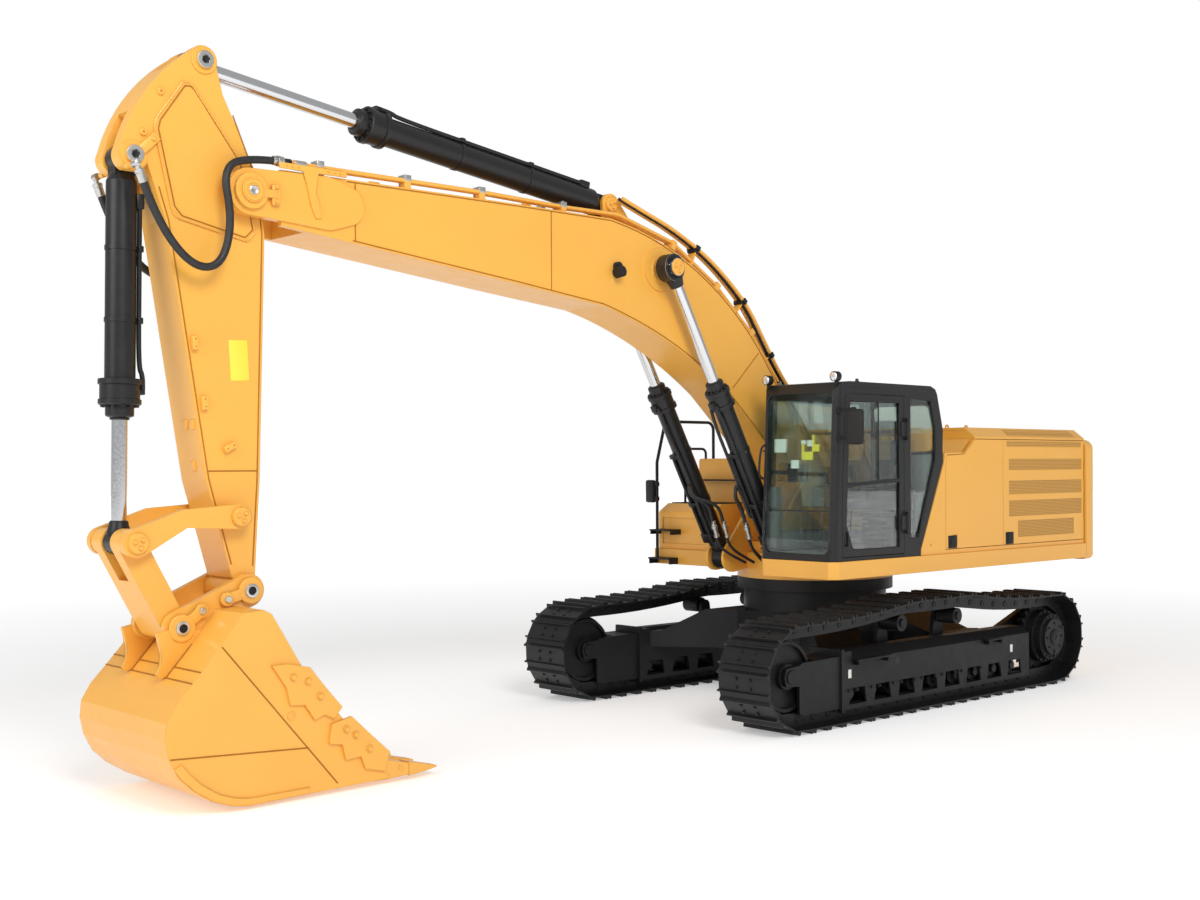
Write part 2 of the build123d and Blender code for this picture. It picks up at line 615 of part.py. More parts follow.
def left_rear_door():
    """Cooling-air door with five louvred panels."""
    with BuildPart() as door:
        add(plate(left_door_outline(1, -SEAM / 2), SIDE_Y - PANEL, SIDE_Y))
        add(door_pivots(LEFT_DOOR_X[2] + PIVOT_IN, SIDE_Y - PANEL / 2, DOOR_LOW, SHOULDER_HIGH - 24, PIVOT_RADIUS))
        for low, high, rear, front in GRILLES:
            add(block(rear, front, SIDE_Y - PANEL - 1, SIDE_Y + 1, low, high), mode=Mode.SUBTRACT)
            rows = int((high - low) / 42)
            pitch = (high - low) / rows
            for i in range(rows):
                z = low + i * pitch
                with BuildSketch(Plane((rear - 4, 0, 0), x_dir=(0, 1, 0), z_dir=(1, 0, 0))):
                    with BuildLine():
                        Polyline((SIDE_Y - 24, z + pitch - 13), (SIDE_Y - 3, z + 3), (SIDE_Y - 3, z + 11),
                                 (SIDE_Y - 24, z + pitch - 5), close=True)
                    make_face()
                extrude(amount=front - rear + 8)
            for i in range(1, 4):
                x = rear + (front - rear) * i / 4
                add(block(x - 12, x + 12, SIDE_Y - PANEL, SIDE_Y - 22, low - 2, high + 2))
    return door.part


def right_rear_door():
    with BuildPart() as door:
        add(plate(((RIGHT_DOOR_X[0], DOOR_LOW), (RIGHT_DOOR_X[0], 2560 - SEAM),
                   (RIGHT_DOOR_X[1], 2560 - SEAM), (RIGHT_DOOR_X[1], DOOR_LOW)), -SIDE_Y, -SIDE_Y + PANEL))
        add(door_pivots(RIGHT_DOOR_X[1] + PIVOT_IN, -SIDE_Y + PANEL / 2, DOOR_LOW, 2560, PIVOT_RADIUS))
        for low, high in ((2250, 2400), (2000, 2150)):
            for i in range(3):
                z = low + i * 50
                add(block(-2800, -1750, -SIDE_Y - 1, -SIDE_Y + PANEL + 1, z, z + 26), mode=Mode.SUBTRACT)
    return door.part


def engine_lid():
    """Lid over the engine, lying in the hood's opening."""
    with BuildPart() as lid:
        add(block(-2700 + SEAM, -1500 - SEAM, -900 + SEAM, 700 - SEAM, HOOD_TOP - PANEL, HOOD_TOP))
        add(block(-2650, -1560, -850, 650, HOOD_TOP - 2, HOOD_TOP + 16))
        for y0, y1 in ((-913, -880), (680, 713)):
            add(bar(-2700 + PIVOT_IN, HOOD_TOP - PANEL / 2, PIVOT_RADIUS, y0, y1))
    return lid.part


def engine():
    """One plain block for the engine, pumps and coolers inside the housing."""
    with BuildPart() as mass:
        add(block(-2600, -1600, -750, 350, DECK_TOP, 2300))
        add(block(-2850, -1650, SIDE_Y - 570, SIDE_Y - 220, DECK_TOP, 2400))
    return mass.part


def right_boxes():
    """Step box in front on the right, taller tanks behind it."""
    with BuildPart() as boxes:
        low = plate(((250, DECK_TOP), (250, 1995), (760, 1995), (905, 1905), (905, DECK_TOP)), -SIDE_Y, -650)
        add(low)
        add(plate(((-250, DECK_TOP), (-250, 2490), (262, 2490), (262, DECK_TOP)), -SIDE_Y, -650))
        chosen = [e for e in boxes.edges().filter_by(Axis.Y) if e.center().Z > 1850]
        fillet(chosen, 34)
        # closed hollow tanks
        add(plate(((262, DECK_TOP + 14), (262, 1983), (754, 1983), (880, 1898), (880, DECK_TOP + 14)),
                  -SIDE_Y + 14, -664), mode=Mode.SUBTRACT)
        add(block(-236, 248, -SIDE_Y + 14, -664, DECK_TOP + 14, 2476), mode=Mode.SUBTRACT)
        add(block(896, 906, -SIDE_Y + 60, -760, 1560, 1840), mode=Mode.SUBTRACT)
    return boxes.part


def right_treads():
    """Anti-slip treads and the low step on the right front."""
    with BuildPart() as treads:
        add(block(300, 740, -SIDE_Y + 40, -700, 1995, 2005))
        add(block(905, 1075, -SIDE_Y + 20, -SIDE_Y + 340, 1700, 1716))
        add(block(950, 1095, -SIDE_Y + 20, -SIDE_Y + 340, 1392, 1410))
        add(block(262, 400, -SIDE_Y + 60, -800, 2240, 2256))
        for y in (-SIDE_Y + 20, -SIDE_Y + 328):
            add(block(905, 1060, y, y + 12, 1660, 1702))
            add(block(950, 1080, y, y + 12, 1340, 1394))
        add(right_boxes(), mode=Mode.SUBTRACT)
        add(handrails(), mode=Mode.SUBTRACT)
    return treads.part


def handrails():
    """Black tube rails: at the right steps and along the right tank."""
    y = -SIDE_Y + 70
    with BuildPart() as rails:
        add(tube(((1000, y, 1400), (1000, y, 2450), (870, y, 2900), (100, y, 2900), (100, y, 2490)), 17, 90))
        add(tube(((560, y, 2000), (560, y, 2600), (225, y, 2600), (225, y, 2490)), 14, 60))
    return rails.part


# ================================================================ cab
CAB_SIDE = ((1440, CAB_FLOOR), (1352, 3130), (1290, CAB_TOP - 12), (1240, CAB_TOP), (-60, CAB_TOP - 4),
            (-140, 3170), (-172, 3120), (-270, 2760), (-262, 2580), (-270, 2440), (120, 1560), (120, CAB_FLOOR))
CAB_NOSE = ((1500, CAB_FLOOR), (1500, 1700), (1430, 3110), (1370, CAB_TOP - 14), (1240, CAB_TOP))
DOOR_X = (395.0, 1345.0)
DOOR_Z = (1540.0, 3085.0)
DOOR_THICK = 45.0
WINDSCREEN = (2330.0, CAB_LEFT - CAB_RIGHT - 105, 1540.0, 90.0)  # middle z, width, height, corner
REAR_WINDOW = (2780.0, CAB_LEFT - CAB_RIGHT - 185, 480.0, 70.0)
REACH = (CAB_LEFT - CAB_RIGHT) / 2 - CAB_WALL - 14.5  # from the seat's middle to a console's outer side
HINGE_X = DOOR_X[0] - 30
HINGE_Y = CAB_LEFT + 24
HINGE_Z = (1840.0, 2760.0)


def cab_body():
    outline = CAB_NOSE + CAB_SIDE[4:]
    with BuildPart(mode=Mode.PRIVATE) as body:
        with BuildSketch(side_plane(CAB_LEFT)):
            with BuildLine():
                Polyline(*outline, close=True)
            make_face()
        extrude(amount=CAB_LEFT - CAB_RIGHT)
        upright = [e for e in body.edges() if abs(e.tangent_at(0).Z) > 0.95 and e.center().X > 1400]
        fillet(upright, 70)
    return body.part


def door_outline(gap):
    x0, x1 = DOOR_X[0] - gap, DOOR_X[1] + gap
    z0, z1 = DOOR_Z[0] - gap, DOOR_Z[1] + gap
    return ((x0, z0), (x0, z1), (x1 - 60, z1), (x1 - 32, z1 - 40), (x1 + 16, 2100), (x1 + 16, z0))


QUARTER = ((285, 1680), (285, 3080), (-70, 3060), (-150, 2770), (-150, 2470), (150, 1680))
RIGHT_PANE = ((300, 1750), (300, 3050), (1270, 3050), (1330, 1750))
RIGHT_QUARTER = ((230, 2450), (230, 3050), (-70, 3050), (-150, 2770), (-150, 2450))


def cab_frame():
    """Hollow cab: pillars, roof, sills and floor, with every window cut."""
    with BuildPart() as cab:
        add(cab_body())
        inner = ((1440, CAB_FLOOR + 45), (1440, 1700), (1372, 3090), (1310, CAB_TOP - 62),
                 (1200, CAB_TOP - 55), (-40, CAB_TOP - 58), (-110, 3090), (-215, 2750), (-215, 2450),
                 (165, 1580), (165, CAB_FLOOR + 45))
        add(plate(inner, CAB_RIGHT + CAB_WALL, CAB_LEFT - CAB_WALL), mode=Mode.SUBTRACT)
        add(plate(door_outline(SEAM), CAB_LEFT - CAB_WALL - 2, CAB_LEFT + 2), mode=Mode.SUBTRACT)
        add(plate(QUARTER, CAB_LEFT - CAB_WALL - 2, CAB_LEFT + 2), mode=Mode.SUBTRACT)
        for pane in (RIGHT_PANE, RIGHT_QUARTER):
            add(plate(pane, CAB_RIGHT - 2, CAB_RIGHT + CAB_WALL + 2), mode=Mode.SUBTRACT)
        # windscreen, rear window and roof hatch
        with BuildSketch(Plane((1600, 0, 0), x_dir=(0, 1, 0), z_dir=(1, 0, 0))):
            with Locations(((CAB_RIGHT + CAB_LEFT) / 2, WINDSCREEN[0])):
                RectangleRounded(*WINDSCREEN[1:])
        extrude(amount=-260, mode=Mode.SUBTRACT)
        with BuildSketch(Plane((-320, 0, 0), x_dir=(0, 1, 0), z_dir=(1, 0, 0))):
            with Locations(((CAB_RIGHT + CAB_LEFT) / 2, REAR_WINDOW[0])):
                RectangleRounded(*REAR_WINDOW[1:])
        extrude(amount=230, mode=Mode.SUBTRACT)
        add(block(350, 950, CAB_RIGHT + 180, CAB_LEFT - 180, CAB_TOP - 100, CAB_TOP + 10), mode=Mode.SUBTRACT)
        # pins of the door's hinges, held above and below by lugs
        for z in HINGE_Z:
            add(disc(HINGE_X, HINGE_Y, 9, z - 108, z + 108))
            for z0, z1 in ((z - 108, z - 86), (z + 86, z + 108)):
                add(block(HINGE_X - 18, HINGE_X + 18, CAB_LEFT - 2, HINGE_Y + 14, z0, z1))
    return cab.part


def across_pane(points, y, z, width, height, corner):
    """A pane that spans the cab, given in X and Z, trimmed to a rounded window seen from ahead."""
    with BuildPart(mode=Mode.PRIVATE) as pane:
        add(plate(points, y - width, y + width))
        with BuildSketch(Plane((2000, 0, 0), x_dir=(0, 1, 0), z_dir=(1, 0, 0))):
            with Locations((y, z)):
                RectangleRounded(width - 0.5, height - 0.5, corner)
        extrude(amount=-3000, mode=Mode.INTERSECT)
    return pane.part


def cab_glass():
    """Windscreen, quarter, right-hand and rear windows and the roof hatch's pane."""
    middle = (CAB_RIGHT + CAB_LEFT) / 2
    front = ((1486, 1540), (1486, 1700), (1416, 3150), (1408, 3150), (1478, 1700), (1478, 1540))
    rear = ((-250, 2500), (-256, 2760), (-166, 3100), (-160, 3100), (-250, 2760), (-244, 2500))
    with BuildPart() as glass:
        add(across_pane(front, middle, *WINDSCREEN))
        add(across_pane(rear, middle, *REAR_WINDOW))
        add(plate(QUARTER, CAB_LEFT - 26, CAB_LEFT - 20))
        for pane in (RIGHT_PANE, RIGHT_QUARTER):
            add(plate(pane, CAB_RIGHT + 20, CAB_RIGHT + 26))
        add(block(350, 950, CAB_RIGHT + 180, CAB_LEFT - 180, CAB_TOP - 30, CAB_TOP - 22))
    return glass.part


def door_panes():
    """Outlines of the door's upper and lower openings, in X and Z."""
    x0, x1 = DOOR_X
    z0, z1 = DOOR_Z
    upper = ((x0 + 60, 2270), (x0 + 60, z1 - 60), (x1 - 110, z1 - 60), (x1 - 60, 2230))
    lower = ((x0 + 60, z0 + 60), (x0 + 60, 2250), (x1 - 58, 2210), (x1 - 45, z0 + 300),
             (x1 - 150, z0 + 60))
    return upper, lower


def cab_door():
    """Door frame with sill, middle rail and handle recess."""
    y0, y1 = CAB_LEFT - DOOR_THICK, CAB_LEFT
    x1 = DOOR_X[1]
    with BuildPart() as door:
        add(plate(door_outline(0), y0, y1))
        for pane in door_panes():
            add(plate(pane, y0 - 2, y1 + 2), mode=Mode.SUBTRACT)
        add(plate(((x1 - 70, 1640), (x1 - 70, 1780), (x1 - 20, 1780), (x1 - 5, 1640)), y1 - 22, y1 + 2),
            mode=Mode.SUBTRACT)
        for z in HINGE_Z:
            add(disc(HINGE_X, HINGE_Y, 18, z - 85, z + 85))
            add(block(HINGE_X, DOOR_X[0] + 60, CAB_LEFT + 8, CAB_LEFT + 22, z - 70, z + 70))
            add(block(DOOR_X[0] + 10, DOOR_X[0] + 60, CAB_LEFT - 2, CAB_LEFT + 10, z - 70, z + 70))
            add(disc(HINGE_X, HINGE_Y, 9 + FIT, z - 90, z + 90), mode=Mode.SUBTRACT)
    return door.part


def door_glass():
    with BuildPart() as glass:
        for pane in door_panes():
            add(plate(pane, CAB_LEFT - 26, CAB_LEFT - 20))
    return glass.part


def seat():
    """Operator's seat on its base: cushion, back and head rest, with arm consoles."""
    y = (CAB_RIGHT + CAB_LEFT) / 2
    with BuildPart() as cushion:
        half = REACH - 150
        add(block(110, 640, y - half, y + half, 1930, 2060))
        fillet(cushion.edges(), 40)
    with BuildPart() as back:
        add(plate(((110, 2040), (240, 2040), (150, 2700), (40, 2700)), y - half + 10, y + half - 10))
        fillet(back.edges(), 36)
    with BuildPart() as head:
        add(plate(((48, 2690), (140, 2690), (120, 2880), (30, 2880)), y - 130, y + 130))
        fillet(head.edges(), 30)
    with BuildPart() as chair:
        add(block(200, 620, y - half + 50, y + half - 50, CAB_FLOOR + 45, 1930))
        add(cushion.part)
        add(back.part)
        add(head.part)
    return chair.part


def consoles():
    y = (CAB_RIGHT + CAB_LEFT) / 2
    with BuildPart() as boxes:
        for near, far in ((y - REACH, y - REACH + 130), (y + REACH - 130, y + REACH)):
            add(block(160, 760, near, far, 1960, 2170))
            add(block(240, 500, near + 20, far - 20, CAB_FLOOR + 45, 1962))
            add(disc(690, (near + far) / 2, 16, 2168, 2300))
            add(disc(690, (near + far) / 2, 28, 2290, 2400))
        add(block(1090, 1130, CAB_RIGHT + 60, CAB_RIGHT + 260, 2250, 2420))
        add(block(1105, 1360, CAB_RIGHT + CAB_WALL + 0.3, CAB_RIGHT + 80, 2320, 2360))
    return boxes.part


def cab_lamps():
    """Two round roof lamps on short stalks."""
    with BuildPart() as lamps:
        for y in (CAB_RIGHT + 40, CAB_LEFT - 40):
            with BuildSketch(Plane((1372, y, CAB_TOP + 40), z_dir=(1, 0, 0))):
                Circle(48)
            extrude(amount=62)
            add(block(1385, 1405, y - 14, y + 14, CAB_TOP - 40, CAB_TOP + 10))
            add(block(1330, 1405, y - 14, y + 14, CAB_TOP - 22, CAB_TOP - 8))
        add(cab_frame(), mode=Mode.SUBTRACT)
    return lamps.part


# ================================================================ boom
def boom_outline(inset):
    """Side view of the bent box, inside its outer edge by inset."""
    top = ((890, 3240), (1900, 4215), (3190, 4672))
    low = ((1625, 3120), (2330, 3530), (3290, 3868))
    with BuildSketch(side_plane(0), mode=Mode.PRIVATE) as outline:
        with BuildLine():
            first = Line((150, 2300), top[0])
            crown = ThreePointArc(*top)
            upper = Line(top[2], (6570, 4648))
            nose = Line((6570, 4648), (6570, 4230))
            lower = Line((6570, 4230), low[2])
            ThreePointArc(low[2], low[1], low[0])
            last = Line(low[0], (440, 2090))
            Line((440, 2090), (150, 2300))
        make_face()
        if inset:
            offset(amount=-inset, kind=Kind.INTERSECTION)
    return outline.sketch


BOX_END = ((6050, 4782), (6352, 4560), (6352, 3900), (7120, 3900), (7120, 4900), (6050, 4900))


def boom():
    """Hollow bent box with a wide foot, a fork at the tip and the lugs of three cylinders."""
    half = BOOM_FRONT_HALF
    with BuildPart() as box:
        add(extrude(boom_outline(0), amount=half, both=True))
        plan = ((0, BOOM_REAR_HALF - 4), (3000, BOOM_REAR_HALF - 4), (4300, half), (6900, half), (6900, 900),
                (0, 900))
        add(slab(plan, 1800, 5000), mode=Mode.SUBTRACT)
        add(slab([(x, -y) for x, y in plan], 1800, 5000), mode=Mode.SUBTRACT)
        core = extrude(boom_outline(PLATE), amount=BOOM_REAR_HALF - 4 - PLATE, both=True)
        nose = plate([(x - PLATE - 6, z) for x, z in BOX_END], -400, 400)
        add(without(core, nose), mode=Mode.SUBTRACT)
        # foot
        fx, fz = BOOM_FOOT
        add(bar(fx, fz, 172, -BRACKET_INNER + 8, BRACKET_INNER - 8))
        # fork at the tip
        tx, tz = BOOM_TIP
        for side in (-1, 1):
            y0, y1 = sorted((side * FORK_INNER, side * FORK_OUTER))
            add(hull(((tx, tz, 172), (6180, 4440, 205), (6000, 4440, 150)), y0, y1))
            y0, y1 = sorted((side * FORK_OUTER, side * (FORK_OUTER + 34)))
            add(bar(tx, tz, 132, y0, y1))
        # the box ends in a slant, so that the stick's head can lie back between the fork's plates
        add(plate(BOX_END, -FORK_INNER, FORK_INNER), mode=Mode.SUBTRACT)
        add(bar(tx, tz, 62, -500, 500), mode=Mode.SUBTRACT)
        # ring plates round the lug pin
        lx, lz = BOOM_LUG
        for side in (-1, 1):
            y0, y1 = sorted((side * (BOOM_REAR_HALF - 6), side * (BOOM_REAR_HALF + 14)))
            add(bar(lx, lz, 205, y0, y1))
            y0, y1 = sorted((side * (BOOM_REAR_HALF - 6), side * (BOOM_REAR_HALF + 24)))
            add(bar(lx, lz, 120, y0, y1))
        # ears of the stick cylinder
        sx, sz = STICK_BASE
        for side in (-1, 1):
            y0, y1 = sorted((side * (EYE_HALF + 10), side * (EYE_HALF + 48)))
            add(hull(((sx, sz, 102), (sx - 330, 4560, 30), (sx + 60, 4600, 20)), y0, y1))
        add(bar(sx, sz, 48, -500, 500), mode=Mode.SUBTRACT)
        add(bar(fx, fz, 60 + FIT, -500, 500), mode=Mode.SUBTRACT)
    return box.part


def boom_pins():
    """Tip pin and stick-cylinder base pin, with their caps."""
    tx, tz = BOOM_TIP
    sx, sz = STICK_BASE
    with BuildPart() as pins:
        add(bar(tx, tz, 62, -FORK_OUTER - 40, FORK_OUTER + 40))
        add(both_sides(bar(tx, tz, 88, FORK_OUTER + 34, FORK_OUTER + 54)))
        add(bar(sx, sz, 48, -EYE_HALF - 60, EYE_HALF + 60))
        add(both_sides(bar(sx, sz, 70, EYE_HALF + 48, EYE_HALF + 64)))
    return pins.part


PIPE_LANES = ((-150, -280), (-90, -228), (150, 228), (210, 280))  # y at the foot, y at the nose
PIPE_Z = 4722.0
PIPE_END = 6480.0
PIPE_RADIUS = 17.0


def boom_pipes():
    """Hard lines along the boom's top, spreading toward the nose, in clamps."""
    with BuildPart() as pipes:
        for y, out in PIPE_LANES:
            add(tube(((820, y, 3265), (1250, y, 3760), (1760, y, 4195), (2350, y, 4545),
                      (3050, y, PIPE_Z + 8), (3700, y, PIPE_Z), (4650, out, PIPE_Z),
                      (PIPE_END, out, PIPE_Z - 8)), PIPE_RADIUS, 200))
            add(stub((PIPE_END - 70, out, PIPE_Z - 7.7), (PIPE_END - 25, out, PIPE_Z - 7.9), PIPE_RADIUS + 8))
        for x, z, low, high in ((3700, 4672, 120, 240), (4650, 4670, 210, 298), (5400, 4665, 210, 298),
                                (6200, 4660, 210, 298)):
            add(block(x, x + 60, low, high, z - 12, PIPE_Z + 38))
            low = low - 60 if x < 4000 else low
            high = high - 60 if x < 4000 else high
            add(block(x, x + 60, -high, -low, z - 12, PIPE_Z + 38))
        for x, z, tilt in ((1250, 3740, 46), (1750, 4165, 37), (2350, 4515, 24)):
            for y in (-120, 180):
                with Locations(Location((x, y, z), (0, -tilt, 0))):
                    Box(60, 120, 90)
        add(boom(), mode=Mode.SUBTRACT)
    return pipes.part


# Free hoses from the boom's outer lines to the stick's head, as corners in X and Z.
HOSE_RADIUS = 14.0
HOSE_Y = 338.0
HOSE_ROUTE = ((PIPE_END + 0.3, 4714), (6790, 4712.6), (7075, 4600), (6992, 4205), (7085, 3862), (7325, 3850),
              (7590, 4180), (7700, 4490))
HOSE_BENDS = (150, 145, 150, 143, 150, 200)
ELBOW = (7714.6, 4531.2)


def hose(side):
    """One rubber hose: out of its pipe, over the boom's tip and in a loop up to the stick's head."""
    outs = (280, 280, HOSE_Y, HOSE_Y, HOSE_Y, HOSE_Y, HOSE_Y, HOSE_Y)
    points = [(x, side * y, z) for (x, z), y in zip(HOSE_ROUTE, outs)]
    with BuildPart() as rubber:
        with BuildLine() as route:
            FilletPolyline(*points, radius=HOSE_BENDS)
        with BuildSketch(Plane(route.wire() @ 0, z_dir=route.wire() % 0)):
            Circle(HOSE_RADIUS)
        sweep(path=route.wire())
    return rubber.part


def hose_elbows():
    """Steel elbows between the hoses and the ports on the stick's head."""
    x, z = ELBOW
    (ux, uz), _ = along(HOSE_ROUTE[-2], HOSE_ROUTE[-1])
    end_x, end_z = HOSE_ROUTE[-1]
    one = joined(bar(x, z, 26, PORT_END + 0.3, HOSE_Y + 23),
                 stub((end_x + ux * 0.3, HOSE_Y, end_z + uz * 0.3), (x, HOSE_Y, z), HOSE_RADIUS + 5))
    with BuildPart() as elbows:
        add(both_sides(one))
    return elbows.part


def boom_lamp():
    x, z = 3120, 4235
    with BuildPart() as lamp:
        add(bar(x, z, 45, BOOM_REAR_HALF - 2, BOOM_REAR_HALF + 40))
        with BuildSketch(Plane((x - 20, BOOM_REAR_HALF + 62, z - 40), z_dir=(1, 0, -0.3))):
            Circle(52)
        extrude(amount=80)
        add(boom(), mode=Mode.SUBTRACT)
    return lamp.part


# ================================================================ stick
def stick():
    """Tapered box with a broad head: ears for the dig and bucket cylinders, bosses for four pins."""
    ex, ez = STICK_EAR
    ax, az = DIG_BASE
    bx, bz = BOOM_TIP
    px, pz = BUCKET_PIN
    qx, qz = IDLER_PIN
    with BuildPart() as arm:
        with BuildSketch(side_plane(STICK_HALF)):
            with BuildLine():
                Line((7030, 5345), (6985, 5160))
                Line((6985, 5160), (6690, 4560))
                Line((6690, 4560), (6650, 4160))
                Line((6650, 4160), (6700, 2330))
                Line((6700, 2330), (6745, 1560))
                Line((6745, 1560), (6930, 1600))
                Line((6930, 1600), (7134, 2325))
                Line((7134, 2325), (7432, 4190))
                Line((7432, 4190), (7565, 4575))
                Line((7565, 4575), (7775, 4640))
                ThreePointArc((7775, 4640), (7520, 5165), (7165, 5485))
                Line((7165, 5485), (7030, 5345))
            make_face()
            with Locations((ex, ez)):
                Circle(108)
            with Locations((ax, az)):
                Circle(112)
            with Locations((px, pz)):
                Circle(112)
        extrude(amount=2 * STICK_HALF)
        # hollow
        core = ((6940, 5000), (6730, 4600), (6668, 4160), (6720, 2330), (6760, 1780), (6910, 1780), (7118, 2330),
                (7414, 4190), (7440, 4500), (7330, 4700), (7100, 4980))
        add(plate(core, -STICK_HALF + PLATE, STICK_HALF - PLATE), mode=Mode.SUBTRACT)
        add(bar(bx, bz, 150, -FORK_INNER + 8, FORK_INNER - 8))
        add(bar(qx, qz, 88, -ARM_INNER + 8, ARM_INNER - 8))
        add(bar(px, pz, 112, -EAR_INNER + 8, EAR_INNER - 8))
        for x, z, radius in ((ex, ez, 100), (ax, az, 100)):
            add(bar(x, z, radius, -STICK_HALF - 12, STICK_HALF + 12))
        add(both_sides(bar(*ELBOW, 22, STICK_HALF - 2, PORT_END)))
        # slots of the two cylinder eyes
        add(plate(((6700, 5040), (6700, 5700), (7500, 5700), (7330, 5040)), -SLOT_HALF, SLOT_HALF),
            mode=Mode.SUBTRACT)
        add(plate(((7480, 4380), (7480, 4830), (7700, 4980), (7990, 4980), (7990, 4380)), -SLOT_HALF, SLOT_HALF),
            mode=Mode.SUBTRACT)
        add(plate(((7480, 4200), (7480, 4470), (7560, 4520), (7850, 4520), (7850, 4200)), -128, 128),
            mode=Mode.SUBTRACT)
        add(bar(bx, bz, 62 + FIT, -500, 500), mode=Mode.SUBTRACT)
        add(bar(px, pz, 52 + FIT, -500, 500), mode=Mode.SUBTRACT)
        for x, z in (STICK_EAR, DIG_BASE, IDLER_PIN):
            add(bar(x, z, 48, -500, 500), mode=Mode.SUBTRACT)
        # doubler on each side of the head
        for side in (-1, 1):
            y0, y1 = sorted((side * (STICK_HALF - 4), side * (STICK_HALF + 9)))
            doubler = ((7270, 5140, 60), (7460, 4870, 60), (6905, 4640, 70), (7330, 4270, 60),
                       (6800, 4170, 70))
            add(hull(doubler, y0, y1))
        add(bar(bx, bz, 62 + FIT, -500, 500), mode=Mode.SUBTRACT)
    return arm.part


def stick_pins():
    """Base pin of the bucket cylinder, ear caps, and the idler arms' pin with its caps."""
    ax, az = DIG_BASE
    ex, ez = STICK_EAR
    qx, qz = IDLER_PIN
    with BuildPart() as pins:
        add(bar(ax, az, 48, -STICK_HALF - 16, STICK_HALF + 16))
        add(both_sides(bar(ax, az, 66, STICK_HALF + 12, STICK_HALF + 30)))
        add(both_sides(bar(ex, ez, 48, SLOT_HALF + 2, STICK_HALF + 16)))
        add(both_sides(bar(ex, ez, 66, STICK_HALF + 12, STICK_HALF + 30)))
        add(bar(qx, qz, 48, -ARM_OUTER - 8, ARM_OUTER + 8))
        add(both_sides(bar(qx, qz, 74, ARM_OUTER + 4, ARM_OUTER + 24)))
    return pins.part


# ================================================================ linkage and bucket
def idler_arms():
    """Two curved arms from the stick to the knuckle, with capped pin stubs."""
    qx, qz = IDLER_PIN
    kx, kz = KNUCKLE
    mid = (7350, 2052, 66)
    one = joined(hull(((qx, qz, 92), mid), ARM_INNER, ARM_OUTER),
                 hull((mid, (kx, kz, 102)), ARM_INNER, ARM_OUTER),
                 bar(kx, kz, 76, ARM_OUTER - 2, ARM_OUTER + 22))
    with BuildPart() as arms:
        add(both_sides(one))
        add(bar(qx, qz, 48 + FIT, -500, 500), mode=Mode.SUBTRACT)
    return arms.part


def bucket_link():
    """Forged link from the bucket's ears to the knuckle, forked for the rod's eye."""
    kx, kz = KNUCKLE
    lx, lz = BUCKET_EAR
    (ux, uz), length = along(KNUCKLE, BUCKET_EAR)
    with BuildPart() as link:
        add(hull(((kx, kz, 98), (lx, lz, 96)), -EAR_INNER + 10, EAR_INNER - 10))
        add(bar(kx, kz, 98, -ARM_INNER + 10, ARM_INNER - 10))
        eye_room = ((kx + 150, kz + 200, 150), (kx - 150, kz + 200, 150), (kx + ux * 190, kz + uz * 190, 120))
        add(hull(eye_room, -SLOT_HALF, SLOT_HALF), mode=Mode.SUBTRACT)
        add(bar(lx, lz, 52 + FIT, -500, 500), mode=Mode.SUBTRACT)
    return link.part


BUCKET_BACK = ((6955, 1400), (7118, 1388), (7330, 1120), (7499, 930), (7620, 800), (7690, 680), (7702, 560),
               (7675, 430), (7604, 293), (7503, 195), (7353, 96), (7215, 45), (7081, 24), (6592, 34), (6000, 44))


def bucket_shell():
    """Wrapped shell with side plates, lip, torque tube and two pairs of ears."""
    mouth = ((5915, 50), (5990, 240), (6310, 545), (6630, 930), (6893, 1366))
    inner = ((6880, 1370), (7098, 1361), (7306, 1104), (7478, 914), (7598, 786), (7664, 672), (7675, 560),
             (7650, 440), (7582, 308), (7486, 218), (7342, 122), (7210, 72), (7081, 52), (6592, 62), (6000, 96),
             (5800, 100), (5500, 600), (6400, 1700))
    px, pz = BUCKET_PIN
    lx, lz = BUCKET_EAR
    with BuildPart() as shell:
        add(plate(BUCKET_BACK + mouth, -BUCKET_HALF, BUCKET_HALF))
        add(plate(inner, -BUCKET_HALF + BUCKET_SIDE, BUCKET_HALF - BUCKET_SIDE), mode=Mode.SUBTRACT)
        add(plate(((5905, 44), (5915, 70), (6060, 128), (6330, 112), (6330, 40)), -BUCKET_HALF, BUCKET_HALF))
        add(bar(7012, 1334, 58, -BUCKET_HALF + 10, BUCKET_HALF - 10))
        for side in (-1, 1):
            y0, y1 = sorted((side * EAR_INNER, side * EAR_OUTER))
            add(hull(((px, pz, 122), (lx, lz, 118), (6965, 1400, 60)), y0, y1))
            add(plate(((7000, 1395), (7400, 1300), (7500, 1240), (7560, 1060), (7488, 940), (7330, 1120),
                       (7140, 1400)), y0, y1))
        add(bar(px, pz, 176, -EAR_INNER, EAR_INNER), mode=Mode.SUBTRACT)
        for x, z in (BUCKET_PIN, BUCKET_EAR):
            add(bar(x, z, 52, -500, 500), mode=Mode.SUBTRACT)
    return shell.part


def bucket_pins():
    with BuildPart() as pins:
        for x, z in (BUCKET_PIN, BUCKET_EAR):
            add(bar(x, z, 52, -EAR_OUTER - 6, EAR_OUTER + 6))
            add(both_sides(bar(x, z, 80, EAR_OUTER, EAR_OUTER + 26)))
    return pins.part


TEETH = 5


